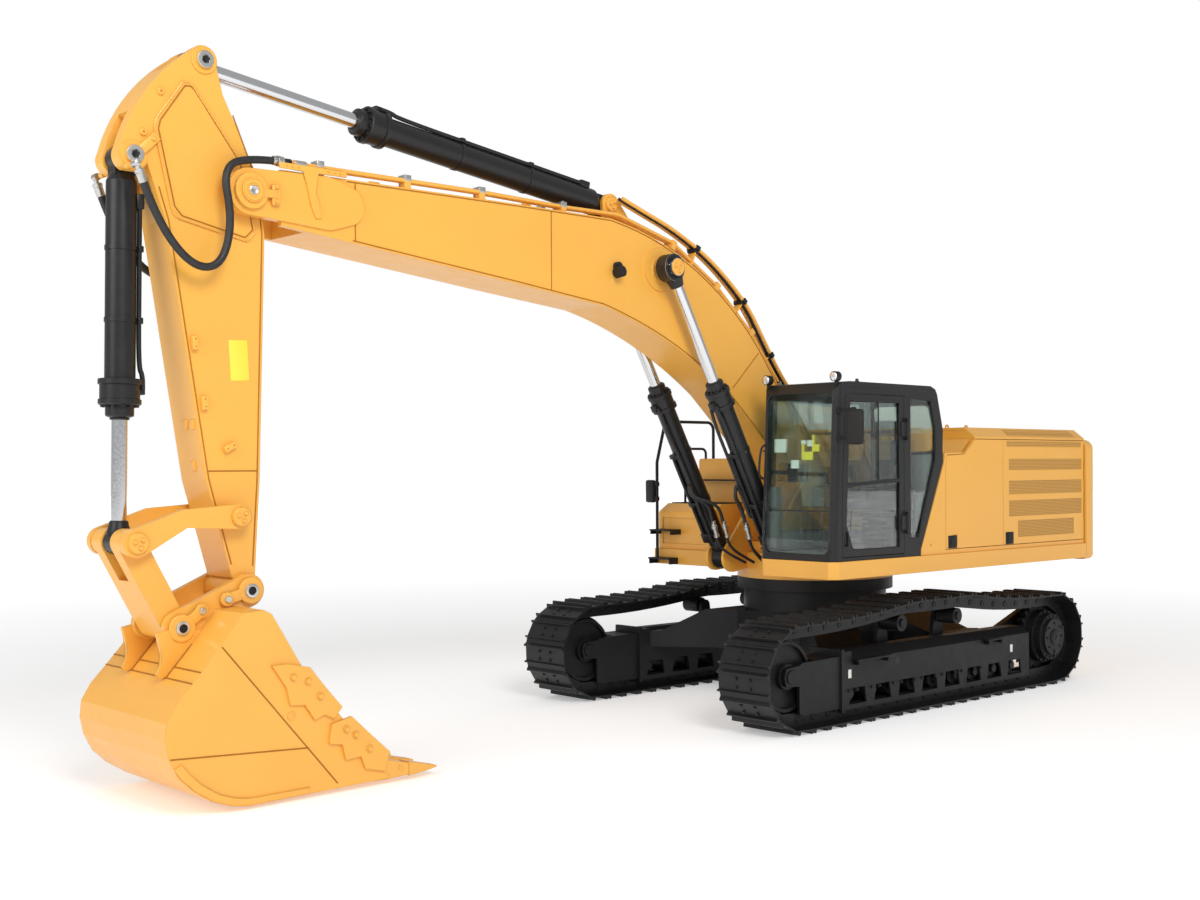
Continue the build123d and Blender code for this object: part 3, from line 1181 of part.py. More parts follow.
def bucket_teeth():
    """Adapters welded round the lip, each with a tapered tip."""
    with BuildPart() as teeth:
        for i in range(TEETH):
            y = (i - (TEETH - 1) / 2) * (BUCKET_HALF - 70) * 2 / (TEETH - 1)
            add(plate(((6170, 104), (6110, 172), (5930, 186), (5720, 132), (5720, 44), (5930, 34), (6050, 39)),
                      y - 62, y + 62))
            with BuildSketch(Plane((5724, y, 88), x_dir=(0, 1, 0), z_dir=(-1, 0, 0))):
                Rectangle(136, 108)
            with BuildSketch(Plane((5560, y, 74), x_dir=(0, 1, 0), z_dir=(-1, 0, 0))):
                Rectangle(118, 54)
            loft()
            with BuildSketch(Plane((5561, y, 74), x_dir=(0, 1, 0), z_dir=(-1, 0, 0))):
                Rectangle(118, 54)
            with BuildSketch(Plane((5455, y, 68), x_dir=(0, 1, 0), z_dir=(-1, 0, 0))):
                Rectangle(96, 14)
            loft()
        add(bucket_shell(), mode=Mode.SUBTRACT)
    return teeth.part


def side_cutters():
    """Two bolt-on cutters along each side plate's edge."""
    shapes = (((6905, 1000), (6780, 1000), (6600, 960), (6470, 800), (6330, 640), (6395, 560), (6480, 600),
               (6560, 570), (6640, 690), (6760, 700), (6790, 830)),
              ((6420, 520), (6250, 560), (6080, 400), (5915, 250), (5960, 110), (6130, 150), (6170, 250),
               (6300, 240), (6330, 360), (6440, 380)))
    with BuildPart() as cutters:
        for points in shapes:
            one = plate(points, BUCKET_HALF, BUCKET_HALF + 24)
            add(both_sides(one))
    return cutters.part


# ================================================================ cylinders
def ram(base, eye, lane, bore, rod_radius, collar, base_radius, eye_radius, length, rod_start, pin_radius,
        stub):
    """A cylinder's barrel and its rod, from the base pin to the rod's eye."""
    (ux, uz), reach = along(base, eye)
    place = Plane(origin=(base[0], lane, base[1]), x_dir=(ux, 0, uz), z_dir=(-uz, 0, ux)).location
    head = length - 60
    with BuildPart(mode=Mode.PRIVATE) as barrel:
        with BuildSketch(Plane.XZ):
            with BuildLine():
                Polyline((base_radius + 12, 0), (base_radius + 12, bore * 0.72), (base_radius + 70, bore),
                         (head - 190, bore), (head - 182, collar), (head - 10, collar), (head - 10, bore * 0.93),
                         (length, bore * 0.93), (length, 0), close=True)
            make_face()
        revolve(axis=Axis.X)
        add(bar(0, 0, base_radius, -EYE_HALF, EYE_HALF))
        add(block(base_radius * 0.5, base_radius + 30, -EYE_HALF + 6, EYE_HALF - 6, -bore * 0.7, bore * 0.7))
        with BuildSketch(Plane((240, 0, 0), z_dir=(1, 0, 0))):
            Circle(rod_radius + FIT)
        extrude(amount=length, mode=Mode.SUBTRACT)
        add(bar(0, 0, pin_radius + FIT, -200, 200), mode=Mode.SUBTRACT)
    with BuildPart(mode=Mode.PRIVATE) as rod:
        with BuildSketch(Plane((reach, 0, 0), z_dir=(-1, 0, 0))):
            Circle(rod_radius)
        extrude(amount=reach - rod_start)
        add(bar(reach, 0, eye_radius, -EYE_HALF, EYE_HALF))
        if stub:
            add(bar(reach, 0, 60, -stub[0], stub[1]))
            for y0, y1 in ((-stub[0], -stub[0] + 20), (stub[1] - 20, stub[1])):
                add(bar(reach, 0, 84, y0, y1))
    return barrel.part.moved(place), rod.part.moved(place)


def lift_cylinder(side):
    stub = (LIFT_Y - BOOM_REAR_HALF - 30, EYE_HALF + 40)
    stub = stub if side > 0 else (stub[1], stub[0])
    return ram(LIFT_BASE, BOOM_LUG, side * LIFT_Y, 95, 55, 115, 118, 128, 2010, 1330, 55, stub)


def stick_cylinder():
    return ram(STICK_BASE, STICK_EAR, 0, 118, 60, 142, 100, 100, 2700, 1560, 48, None)


def bucket_cylinder():
    return ram(DIG_BASE, KNUCKLE, 0, 106, 54, 138, 95, 88, 1830, 1090, 48, None)


# ================================================================ all pieces
def pieces():
    lift_left = lift_cylinder(1)
    lift_right = lift_cylinder(-1)
    crowd = stick_cylinder()
    curl = bucket_cylinder()
    return {
        "track_left": track(1),
        "track_right": track(-1),
        "idlers": joined(idler(1), idler(-1)),
        "sprockets": joined(sprocket(1), sprocket(-1)),
        "final_drives": joined(final_drive(1), final_drive(-1)),
        "track_rollers": track_rollers(),
        "carrier_rollers": carrier_rollers(),
        "track_frame_left": track_frame(1),
        "track_frame_right": track_frame(-1),
        "car_body": car_body(),
        "deck": deck(),
        "boom_bracket": boom_bracket(),
        "bracket_pins": boom_pins_upper(),
        "counterweight": counterweight(),
        "house": house(),
        "left_front_door": left_front_door(),
        "left_rear_door": left_rear_door(),
        "right_rear_door": right_rear_door(),
        "engine_lid": engine_lid(),
        "engine": engine(),
        "right_boxes": right_boxes(),
        "right_treads": right_treads(),
        "handrails": handrails(),
        "cab_frame": cab_frame(),
        "cab_glass": cab_glass(),
        "cab_door": cab_door(),
        "cab_door_glass": door_glass(),
        "cab_lamps": cab_lamps(),
        "seat": seat(),
        "consoles": consoles(),
        "boom": boom(),
        "boom_pins": boom_pins(),
        "boom_pipes": boom_pipes(),
        "boom_lamp": boom_lamp(),
        "hose_left": hose(1),
        "hose_right": hose(-1),
        "hose_elbows": hose_elbows(),
        "stick": stick(),
        "stick_pins": stick_pins(),
        "idler_arms": idler_arms(),
        "bucket_link": bucket_link(),
        "bucket_shell": bucket_shell(),
        "bucket_pins": bucket_pins(),
        "bucket_teeth": bucket_teeth(),
        "side_cutters": side_cutters(),
        "lift_barrel_left": lift_left[0],
        "lift_rod_left": lift_left[1],
        "lift_barrel_right": lift_right[0],
        "lift_rod_right": lift_right[1],
        "stick_barrel": crowd[0],
        "stick_rod": crowd[1],
        "bucket_barrel": curl[0],
        "bucket_rod": curl[1],
    }


os.makedirs("parts", exist_ok=True)
for name, part in pieces().items():
    piece = part.moved(Location((-MIDDLE_X, 0, 0)))
    piece.label = name
    box = piece.bounding_box()
    print(name, len(piece.solids()), round(piece.volume / 1e9, 4), "m3",
          [round(v) for v in (box.min.X, box.max.X, box.min.Y, box.max.Y, box.min.Z, box.max.Z)])
    export_step(piece, f"parts/{name}.step")
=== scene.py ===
"""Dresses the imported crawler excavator: paint, chrome, glass, hoses, cab fittings, bolts and studio.

Metres, in the row frame. at() turns machine places, measured from the swing axis on the ground,
into that frame: +X ahead to the bucket, +Y the machine's left with the cab, +Z up.
"""
import json
import math

import bmesh
import bpy
from mathutils import Matrix, Vector


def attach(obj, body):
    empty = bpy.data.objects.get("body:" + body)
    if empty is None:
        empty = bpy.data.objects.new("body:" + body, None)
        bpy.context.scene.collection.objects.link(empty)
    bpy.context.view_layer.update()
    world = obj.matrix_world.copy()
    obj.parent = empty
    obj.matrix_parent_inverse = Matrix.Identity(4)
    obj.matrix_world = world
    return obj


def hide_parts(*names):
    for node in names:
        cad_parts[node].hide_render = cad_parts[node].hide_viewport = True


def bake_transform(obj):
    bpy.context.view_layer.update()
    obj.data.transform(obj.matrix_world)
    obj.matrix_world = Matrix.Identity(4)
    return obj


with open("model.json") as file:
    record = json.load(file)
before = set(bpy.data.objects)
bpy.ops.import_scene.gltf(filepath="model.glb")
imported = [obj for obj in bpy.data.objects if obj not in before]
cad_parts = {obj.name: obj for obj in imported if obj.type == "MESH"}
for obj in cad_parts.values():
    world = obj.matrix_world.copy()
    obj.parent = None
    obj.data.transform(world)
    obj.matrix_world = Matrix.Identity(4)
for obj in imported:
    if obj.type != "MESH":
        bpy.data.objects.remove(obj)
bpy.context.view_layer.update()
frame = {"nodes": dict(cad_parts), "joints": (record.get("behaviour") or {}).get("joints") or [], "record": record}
JOINTS = {joint["name"]: joint for joint in frame["joints"]}
SWING_X = JOINTS["swing"]["pos_m"][0]


def at(x, y, z):
    return Vector((x + SWING_X, y, z))


# ================================================================ materials
def new_material(name):
    """A material, its node tree and its main shader."""
    material = bpy.data.materials.new(name)
    material.use_nodes = True
    return material, material.node_tree, material.node_tree.nodes["Principled BSDF"]


def set_inputs(node, values):
    for name, value in values.items():
        node.inputs[name].default_value = value


def object_noise(tree, scale, detail=3.0, roughness=0.55):
    place = tree.nodes.new("ShaderNodeTexCoord")
    noise = tree.nodes.new("ShaderNodeTexNoise")
    set_inputs(noise, {"Scale": scale, "Detail": detail, "Roughness": roughness})
    tree.links.new(place.outputs["Object"], noise.inputs["Vector"])
    return noise.outputs["Fac"]


def spread(tree, source, low, high, start=0.3, end=0.7):
    """A socket that runs from start to end, laid out from low to high."""
    ramp = tree.nodes.new("ShaderNodeMapRange")
    set_inputs(ramp, {"From Min": start, "From Max": end, "To Min": low, "To Max": high})
    tree.links.new(source, ramp.inputs["Value"])
    return ramp.outputs["Result"]


def tint(tree, shader, colour, factor):
    """The shader's colour, brightened or darkened by a socket near 1."""
    mix = tree.nodes.new("ShaderNodeMix")
    mix.data_type = "RGBA"
    mix.blend_type = "MULTIPLY"
    set_inputs(mix, {"Factor": 1.0, "A": (*colour, 1)})
    grey = tree.nodes.new("ShaderNodeCombineColor")
    for channel in ("Red", "Green", "Blue"):
        tree.links.new(factor, grey.inputs[channel])
    tree.links.new(grey.outputs["Color"], mix.inputs["B"])
    tree.links.new(mix.outputs["Result"], shader.inputs["Base Color"])


def rounded(tree, radius):
    bevel = tree.nodes.new("ShaderNodeBevel")
    bevel.samples = 4
    bevel.inputs["Radius"].default_value = radius
    return bevel.outputs["Normal"]


def bump(tree, shader, height, strength, distance, normal=None):
    """Relief on the shader from a height socket, over a normal if one is given."""
    node = tree.nodes.new("ShaderNodeBump")
    set_inputs(node, {"Strength": strength, "Distance": distance})
    tree.links.new(height, node.inputs["Height"])
    if normal is not None:
        tree.links.new(normal, node.inputs["Normal"])
    tree.links.new(node.outputs["Normal"], shader.inputs["Normal"])


def paint(name, colour, roughness, edge, variation=0.05, peel=0.12, coat=0.0, gloss=0.5, metal=0.0):
    """Sprayed enamel: faint orange peel, slow changes of tone and gloss, rounded edges."""
    material, tree, shader = new_material(name)
    slow = object_noise(tree, 1.3, 4.0)
    tint(tree, shader, colour, spread(tree, slow, 1 - variation, 1 + variation))
    cloudy = object_noise(tree, 7.0, 5.0, 0.6)
    tree.links.new(spread(tree, cloudy, roughness - 0.05, roughness + 0.07), shader.inputs["Roughness"])
    fine = object_noise(tree, 420.0, 1.0)
    bump(tree, shader, fine, peel, 0.0006, rounded(tree, edge))
    set_inputs(shader, {"Metallic": metal, "Specular IOR Level": gloss, "Coat Weight": coat,
                        "Coat Roughness": 0.12})
    return material


def chrome_material():
    material, tree, shader = new_material("hard_chrome")
    shader.inputs["Metallic"].default_value = 1.0
    streak = object_noise(tree, 60.0, 2.0)
    tree.links.new(spread(tree, streak, 0.1, 0.2), shader.inputs["Roughness"])
    tint(tree, shader, (0.72, 0.73, 0.75), spread(tree, streak, 0.97, 1.0))
    return material


def glass_material():
    """Tinted pane: part straight through, part through green glass, with a faint film of dust."""
    material, tree, shader = new_material("tinted_pane")
    dust = object_noise(tree, 3.0, 4.0)
    tint(tree, shader, (0.66, 0.96, 0.84), spread(tree, dust, 0.96, 1.0))
    tree.links.new(spread(tree, dust, 0.0, 0.03), shader.inputs["Roughness"])
    set_inputs(shader, {"IOR": 1.45, "Transmission Weight": 1.0, "Alpha": 0.5})
    return material


def rubber_material():
    material, tree, shader = new_material("hose_cover")
    tone = object_noise(tree, 30.0, 4.0)
    tint(tree, shader, (0.014, 0.014, 0.015), spread(tree, tone, 0.7, 1.4))
    tree.links.new(spread(tree, tone, 0.42, 0.6), shader.inputs["Roughness"])
    bump(tree, shader, object_noise(tree, 700.0, 1.0), 0.3, 0.0006)
    return material


def cloth_material():
    """Woven seat cloth: two sets of fine ribs, crosswise."""
    material, tree, shader = new_material("seat_cloth")
    place = tree.nodes.new("ShaderNodeTexCoord")
    weave = tree.nodes.new("ShaderNodeMath")
    weave.operation = "ADD"
    for i, direction in enumerate(("X", "Z")):
        wave = tree.nodes.new("ShaderNodeTexWave")
        wave.bands_direction = direction
        set_inputs(wave, {"Scale": 190.0, "Distortion": 0.6})
        tree.links.new(place.outputs["Object"], wave.inputs["Vector"])
        tree.links.new(wave.outputs["Fac"], weave.inputs[i])
    tone = object_noise(tree, 9.0, 5.0)
    tint(tree, shader, (0.085, 0.088, 0.092), spread(tree, tone, 0.8, 1.25))
    bump(tree, shader, weave.outputs["Value"], 0.35, 0.001)
    tree.links.new(spread(tree, tone, 0.8, 0.92), shader.inputs["Roughness"])
    shader.inputs["Sheen Weight"].default_value = 0.3
    return material


def perforated_material():
    """Perforated sheet: rows of small round holes, the shade inside them painted as dark dots in the yellow paint.
    """
    material, tree, shader = new_material("perforated_yellow")
    place = tree.nodes.new("ShaderNodeTexCoord")
    holes = tree.nodes.new("ShaderNodeTexVoronoi")
    set_inputs(holes, {"Scale": 62.0, "Randomness": 0.0})
    tree.links.new(place.outputs["Object"], holes.inputs["Vector"])
    # painted shade: the holes' dark insides, as dots in the colour; the same mask gives the bump
    hole_shade = spread(tree, holes.outputs["Distance"], 0.32, 1.0, 0.3, 0.42)
    tint(tree, shader, (0.7, 0.35, 0.055), hole_shade)
    bump(tree, shader, hole_shade, 0.6, 0.002)
    shader.inputs["Roughness"].default_value = 0.5
    return material


YELLOW = paint("construction_yellow", (0.86, 0.43, 0.066), 0.36, 0.009, 0.03, 0.1, 0.15)
CHARCOAL = paint("charcoal_paint", (0.01, 0.01, 0.011), 0.46, 0.006, 0.25, 0.2, gloss=0.3)
RAM_BLACK = paint("ram_enamel", (0.012, 0.012, 0.013), 0.34, 0.004, 0.12, 0.1, gloss=0.4)
CAB_BLACK = paint("cab_paint", (0.014, 0.014, 0.014), 0.38, 0.008, 0.12, 0.1, gloss=0.35)
TRACK_STEEL = paint("track_steel", (0.009, 0.009, 0.01), 0.4, 0.004, 0.3, 0.35, gloss=0.35)
MOULDED = paint("moulded_black", (0.014, 0.014, 0.014), 0.55, 0.004, 0.12, 0.5, gloss=0.3)
ALLOY = paint("grey_casting", (0.25, 0.25, 0.26), 0.55, 0.006, 0.1, 0.5)
GREY_PLASTIC = paint("dark_grey_plastic", (0.05, 0.052, 0.053), 0.5, 0.004, 0.1, 0.4, gloss=0.3)
CREAM = paint("blank_sign", (0.78, 0.77, 0.72), 0.4, 0.001, 0.04, 0.1)
SIGN_YELLOW = paint("blank_yellow_sign", (0.87, 0.72, 0.06), 0.4, 0.001, 0.04, 0.1)
ZINC = paint("zinc_plate", (0.6, 0.6, 0.58), 0.3, 0.002, 0.08, 0.15, metal=1.0)
CHROME = chrome_material()
PANE_DARK = paint("dark_screen", (0.01, 0.012, 0.014), 0.12, 0.001, 0.02, 0.0)
# painted shade: a dark yellow for weld seams, gaps and small holes, standing in for the shade in their creases
CREASE_SHADE = paint("seam_painted_shade", (0.4, 0.15, 0.012), 0.5, 0.004, 0.1, 0.1, gloss=0.3)
LINING = paint("grey_lining", (0.17, 0.18, 0.175), 0.6, 0.004, 0.05, 0.4, gloss=0.3)
LENS = paint("lamp_lens", (0.75, 0.76, 0.78), 0.1, 0.001, 0.02, 0.0, 0.6, metal=0.6)
PANE = glass_material()
RUBBER = rubber_material()
CLOTH = cloth_material()

SLOT_MATERIAL = {
    "yellow_paint": YELLOW,
    "black_paint": CHARCOAL,
    "cylinder_paint": RAM_BLACK,
    "cab_paint": CAB_BLACK,
    "track_steel": TRACK_STEEL,
    "chrome_rod": CHROME,
    "tinted_glass": PANE,
    "black_plastic": MOULDED,
    "seat_fabric": CLOTH,
    "engine_alloy": ALLOY,
    "hose_rubber": RUBBER,
    "zinc_fitting": ZINC,
}


def paint_frame():
    slots = {part["node"]: part["material_slot"] for part in frame["record"]["subparts"]}
    for name, node in frame["nodes"].items():
        material = SLOT_MATERIAL[slots[name]]
        for place in node.material_slots:
            place.material = material
        if not node.material_slots:
            node.data.materials.append(material)


paint_frame()



# ================================================================ mesh helpers
SHARP = math.radians(32)
SEAM_SIZE = 0.0055
SEAM_RIPPLE = 0.03


def turned(degrees, axis="Y"):
    return Matrix.Rotation(math.radians(degrees), 4, axis)


def basis(axis):
    """Two directions square to axis, and axis itself at length 1."""
    axis = Vector(axis).normalized()
    side = axis.orthogonal().normalized()
    return side, axis.cross(side), axis


def circle(centre, side, up, radius, count):
    """Points round centre in the plane of side and up."""
    angles = (2 * math.pi * i / count for i in range(count))
    return [centre + (side * math.cos(a) + up * math.sin(a)) * radius for a in angles]


def skin(shape, rings):
    """Joins rings of vertices, each to the next."""
    for near, far in zip(rings, rings[1:]):
        for i in range(len(near)):
            j = (i + 1) % len(near)
            shape.faces.new((near[i], near[j], far[j], far[i]))


def cap(shape, rings):
    """Closes the first ring and the last; returns the two faces."""
    return [shape.faces.new(rings[0]), shape.faces.new(rings[-1])]


def lathe(shape, centre, axis, profile, sides=24, hollow=False):
    """A turned form about centre: profile holds (place along the axis, radius), end to end."""
    side, up, axis = basis(axis)
    rings = []
    for reach, radius in profile:
        points = circle(Vector(centre) + axis * reach, side, up, radius, sides)
        rings.append([shape.verts.new(point) for point in points])
    if hollow:
        skin(shape, rings + rings[:1])
    else:
        skin(shape, rings)
        cap(shape, rings)


def bolt(shape, centre, axis, radius):
    """A hexagon bolt on its washer; radius is the head's, across its corners."""
    axis = Vector(axis).normalized()
    lathe(shape, centre, axis, ((-0.001, radius * 1.3), (radius * 0.22, radius * 1.3)), 14)
    head = Vector(centre) + axis * radius * 0.2
    lathe(shape, head, axis, ((0, radius), (radius * 0.75, radius), (radius * 0.95, radius * 0.8)), 6)


def bolt_ring(shape, centre, axis, ring, count, radius, start=0.0):
    side, up, axis = basis(axis)
    for i in range(count):
        a = 2 * math.pi * (i + start) / count
        bolt(shape, Vector(centre) + (side * math.cos(a) + up * math.sin(a)) * ring, axis, radius)


def soften(shape, edges, size, steps=2):
    bmesh.ops.bevel(shape, geom=edges, offset=size, segments=steps, affect="EDGES", profile=0.5,
                    clamp_overlap=True)


def brick(shape, centre, size, edge=0.004, turn=None, steps=2):
    """A block with rounded edges, turned by a matrix if one is given."""
    place = Matrix.Translation(centre) @ (turn or Matrix()) @ Matrix.Diagonal((*size, 1.0))
    made = bmesh.ops.create_cube(shape, size=1.0, matrix=place)
    soften(shape, list({e for v in made["verts"] for e in v.link_edges}), edge, steps)


def prism(shape, outline, y0, y1, edge=0.003):
    """An outline in machine X and Z, from y0 to y1, with its rims rounded."""
    rings = [[shape.verts.new(at(x, y, z)) for x, z in outline] for y in (y0, y1)]
    ends = cap(shape, rings)
    skin(shape, rings)
    soften(shape, list({e for face in ends for e in face.edges}), edge)


def bead(shape, points, radius, ripple=0.15, closed=False):
    """A weld bead or gasket along straight runs between points."""
    points = [Vector(p) for p in points]
    if closed:
        points.append(points[0])
    line = []
    for a, b in zip(points, points[1:]):
        steps = max(2, int((b - a).length / (radius * 2.2)))
        line += [a.lerp(b, i / steps) for i in range(steps)]
    line.append(points[-1])
    rings = []
    for i, p in enumerate(line):
        before, after = line[max(i - 1, 0)], line[min(i + 1, len(line) - 1)]
        side, up, _ = basis(after - before)
        swell = radius * (1 + (ripple if i % 2 else -ripple))
        rings.append([shape.verts.new(point) for point in circle(p, side, up, swell, 6)])
    for near, far in zip(rings, rings[1:]):
        turn = min(range(6), key=lambda k: (near[0].co - far[k].co).length)
        for k in range(6):
            shape.faces.new((near[k], near[(k + 1) % 6], far[(k + 1 + turn) % 6], far[(k + turn) % 6]))
    cap(shape, rings)


def seam(shape, points, closed=False):
    bead(shape, points, SEAM_SIZE, SEAM_RIPPLE, closed)


def new_object(name, data):
    made = bpy.data.objects.new(name, data)
    bpy.context.scene.collection.objects.link(made)
    return made


def mesh_object(name, shape, material):
    """Closes a bmesh into an object of one material."""
    mesh = bpy.data.meshes.new(name)
    shape.to_mesh(mesh)
    shape.free()
    mesh.materials.append(material)
    return new_object(name, mesh)


def finish_piece(name, shape, body, slot, material=None):
    """Closes a bmesh into a piece that rides on body and is smooth but for its sharp edges."""
    bmesh.ops.recalc_face_normals(shape, faces=shape.faces)
    for face in shape.faces:
        face.smooth = True
    for edge in shape.edges:
        edge.smooth = len(edge.link_faces) == 2 and edge.calc_face_angle(0.0) < SHARP
    piece = mesh_object(name, shape, material or SLOT_MATERIAL[slot])
    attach(piece, body)
    return piece


def route(name, points, radius):
    """A smooth NURBS tube through control points in the row frame."""
    curve = bpy.data.curves.new(name, "CURVE")
    curve.dimensions = "3D"
    curve.bevel_depth = radius
    curve.bevel_resolution = 5
    curve.resolution_u = 10
    curve.use_fill_caps = True
    spline = curve.splines.new("NURBS")
    spline.points.add(len(points) - 1)
    for place, point in zip(spline.points, points):
        place.co = (*point, 1.0)
    spline.order_u = 3
    spline.use_endpoint_u = True
    return new_object(name, curve)


def pipe(name, points, radius, body, slot):
    """A rigid tube that is bent at its points."""
    line = route(name, points, radius)
    line.data.materials.append(SLOT_MATERIAL[slot])
    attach(line, body)


def tube_mesh(name, points, radius, slot, sides=16):
    """A bent tube as a mesh, for a hose that crosses a joint, and the points along its middle."""
    line = route(name + "_route", points, 0.0)
    bpy.context.view_layer.update()
    wire = bpy.data.meshes.new_from_object(line)
    middle = [vertex.co.copy() for vertex in wire.vertices]
    bpy.data.objects.remove(line)
    bpy.data.meshes.remove(wire)
    shape = bmesh.new()
    rings = []
    across = Vector((0, 1, 0))
    for i, point in enumerate(middle):
        ahead = (middle[min(i + 1, len(middle) - 1)] - middle[max(i - 1, 0)]).normalized()
        across = (across - ahead * across.dot(ahead)).normalized()
        rings.append([shape.verts.new(p) for p in circle(point, across, ahead.cross(across), radius, sides)])
    skin(shape, rings)
    cap(shape, rings)
    bmesh.ops.recalc_face_normals(shape, faces=shape.faces)
    for face in shape.faces:
        face.smooth = len(face.verts) == 4
    tube = mesh_object(name, shape, SLOT_MATERIAL[slot])
    return tube, middle


# ================================================================ free hoses
HOSE_Y = 0.349
HOSE_ROUTE = (  # machine x, y on the left side, z: out of the pipe, over the tip and up to the stick
    (6.4803, 0.28, 4.714), (6.79, 0.28, 4.7126), (7.075, HOSE_Y, 4.6), (6.992, HOSE_Y, 4.205),
    (7.085, HOSE_Y, 3.862), (7.325, HOSE_Y, 3.85), (7.59, HOSE_Y, 4.18), (7.7, HOSE_Y, 4.49),
)
HOSE_RADIUS = 0.029
ELBOW = (7.7146, 4.5312)  # the port's middle on the stick's head, machine X and Z


def add_cords():
    """The two free hoses between the boom's pipes and the stick's head."""
    for side, name in ((1, "hose_left"), (-1, "hose_right")):
        points = [at(x, side * y, z) for x, y, z in HOSE_ROUTE]
        tube, middle = tube_mesh("rubber_" + name, points, HOSE_RADIUS, "hose_rubber")
        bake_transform(tube)
        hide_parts(name)
    ends, elbows = bmesh.new(), bmesh.new()
    for side in (-1, 1):
        x, y, z = HOSE_ROUTE[0]
        for reach, length, radius in ((-0.13, 0.1, 0.027), (0.004, 0.06, 0.027), (0.064, 0.022, 0.037),
                                      (0.09, 0.028, 0.04), (0.12, 0.03, 0.035)):
            lathe(ends, at(x + reach, side * y, z - 0.0006 * reach / 0.15), (1, 0, 0),
                  ((0, radius * 0.94), (length * 0.1, radius), (length * 0.9, radius),
                   (length, radius * 0.94)), 20)
        # at the stick: ferrule, nut, elbow and the flange on the port
        end = at(HOSE_ROUTE[-1][0], side * HOSE_Y, HOSE_ROUTE[-1][2])
        way = (end - at(HOSE_ROUTE[-2][0], side * HOSE_Y, HOSE_ROUTE[-2][2])).normalized()
        lathe(elbows, end - way * 0.1, way,
              ((0, 0.025), (0.01, 0.0315), (0.07, 0.0315), (0.075, 0.036), (0.098, 0.036), (0.1, 0.02)), 20)
        lathe(elbows, end - way * 0.004, way, ((0, 0.019), (0.044, 0.019)), 20)
        port = at(ELBOW[0], side * 0.3, ELBOW[1])
        lathe(elbows, port, (0, side, 0), ((0, 0.026), (0.055, 0.026), (0.068, 0.022), (0.072, 0.012)), 24)
    finish_piece("hose_ferrules", ends, "boom", "zinc_fitting")
    piece = finish_piece("stick_hose_ends", elbows, "stick", "zinc_fitting")
    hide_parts("hose_elbows")


# ================================================================ undercarriage
WHEELBASE = 4.36
WHEEL_Z = 0.505
PITCH_RADIUS = 0.4
CARRIERS = ((0.45, 0.105), (-0.5, 0.105))
SAGS = (0.034, 0.008, 0.04)
SHOES = 52
TRACK_Y = 1.37
SHOE_TOP = 0.077


def chain_pins():
    """Where the chain's pins stand, in machine X and Z, as in the part."""
    half = WHEELBASE / 2
    line = [(-half + WHEELBASE * i / 200, WHEEL_Z - PITCH_RADIUS) for i in range(200)]
    turn = [math.radians(-90 + 180 * i / 120) for i in range(120)]
    line += [(half + PITCH_RADIUS * math.cos(a), WHEEL_Z + PITCH_RADIUS * math.sin(a)) for a in turn]
    high = WHEEL_Z + PITCH_RADIUS
    stops = [(half, high)] + [(x, high + lift) for x, lift in CARRIERS] + [(-half, high)]
    for (x0, z0), (x1, z1), sag in zip(stops, stops[1:], SAGS):
        for i in range(80):
            t = i / 80
            line.append((x0 + (x1 - x0) * t, z0 + (z1 - z0) * t - 4 * sag * t * (1 - t)))
    line += [(-half - PITCH_RADIUS * math.cos(a), WHEEL_Z - PITCH_RADIUS * math.sin(a)) for a in turn]
    line.append(line[0])
    reach = [0.0]
    for a, b in zip(line, line[1:]):
        reach.append(reach[-1] + math.dist(a, b))
    pins, place = [], 0
    for i in range(SHOES):
        want = reach[-1] * (i + 0.5) / SHOES
        while reach[place + 1] < want:
            place += 1
        t = (want - reach[place]) / (reach[place + 1] - reach[place])
        a, b = line[place], line[place + 1]
        pins.append((a[0] + (b[0] - a[0]) * t, a[1] + (b[1] - a[1]) * t))
    return pins


def add_shoe_bolts(side, name):
    shape = bmesh.new()
    pins = chain_pins()
    for a, b in zip(pins, pins[1:] + pins[:1]):
        length = math.dist(a, b)
        tx, tz = (b[0] - a[0]) / length, (b[1] - a[1]) / length
        for along in (-0.046, 0.03):
            for across in (-0.083, 0.083):
                x = (a[0] + b[0]) / 2 + tx * along + tz * SHOE_TOP
                z = (a[1] + b[1]) / 2 + tz * along - tx * SHOE_TOP
                bolt(shape, at(x, side * TRACK_Y + across, z), (tz, 0, -tx), 0.014)
    finish_piece("shoe_bolts_" + name, shape, "undercarriage", "track_steel")


def add_chain_pins(side, name):
    """Ends of the pins and bushings in the link rows."""
    shape = bmesh.new()
    for x, z in chain_pins():
        for y, way in ((0.108, 1), (-0.108, -1)):
            lathe(shape, at(x, side * TRACK_Y + y, z), (0, way, 0),
                  ((-0.002, 0.03), (0.005, 0.03), (0.007, 0.024), (0.007, 0.02), (0.004, 0.018)), 16)
    finish_piece("chain_pins_" + name, shape, "undercarriage", "track_steel")


COVER_OFF = 0.232  # the final drive's cover, out from the track's middle
PLUG_RING = 0.185
PLUG_TURNS = (0.5, 2.6, 4.7)


def add_drive_bolts():
    shape = bmesh.new()
    for side in (-1, 1):
        way = (0, side, 0)
        for off, ring, count, radius in ((0.12, 0.268, 20, 0.013), (0.196, 0.225, 20, 0.012),
                                         (COVER_OFF, 0.15, 8, 0.011)):
            bolt_ring(shape, at(-WHEELBASE / 2, side * (TRACK_Y + off), WHEEL_Z), way, ring, count, radius)
        cover = at(-WHEELBASE / 2, side * (TRACK_Y + COVER_OFF), WHEEL_Z)
        lathe(shape, cover, way, ((-0.002, 0.085), (0.008, 0.085), (0.016, 0.072), (0.016, 0.03),
                                  (0.008, 0.024)), 32)
        for a in PLUG_TURNS:
            place = cover + Vector((math.cos(a), 0, math.sin(a))) * PLUG_RING
            lathe(shape, place, way, ((-0.03, 0.02), (0.006, 0.02), (0.01, 0.016)), 6)
    finish_piece("final_drive_bolts", shape, "undercarriage", "black_paint")


FRAME_SIDE = 1.55
GUARD_START, GUARD_PITCH = -1.44, 0.345  # the roller guards' bolt pairs along the frame


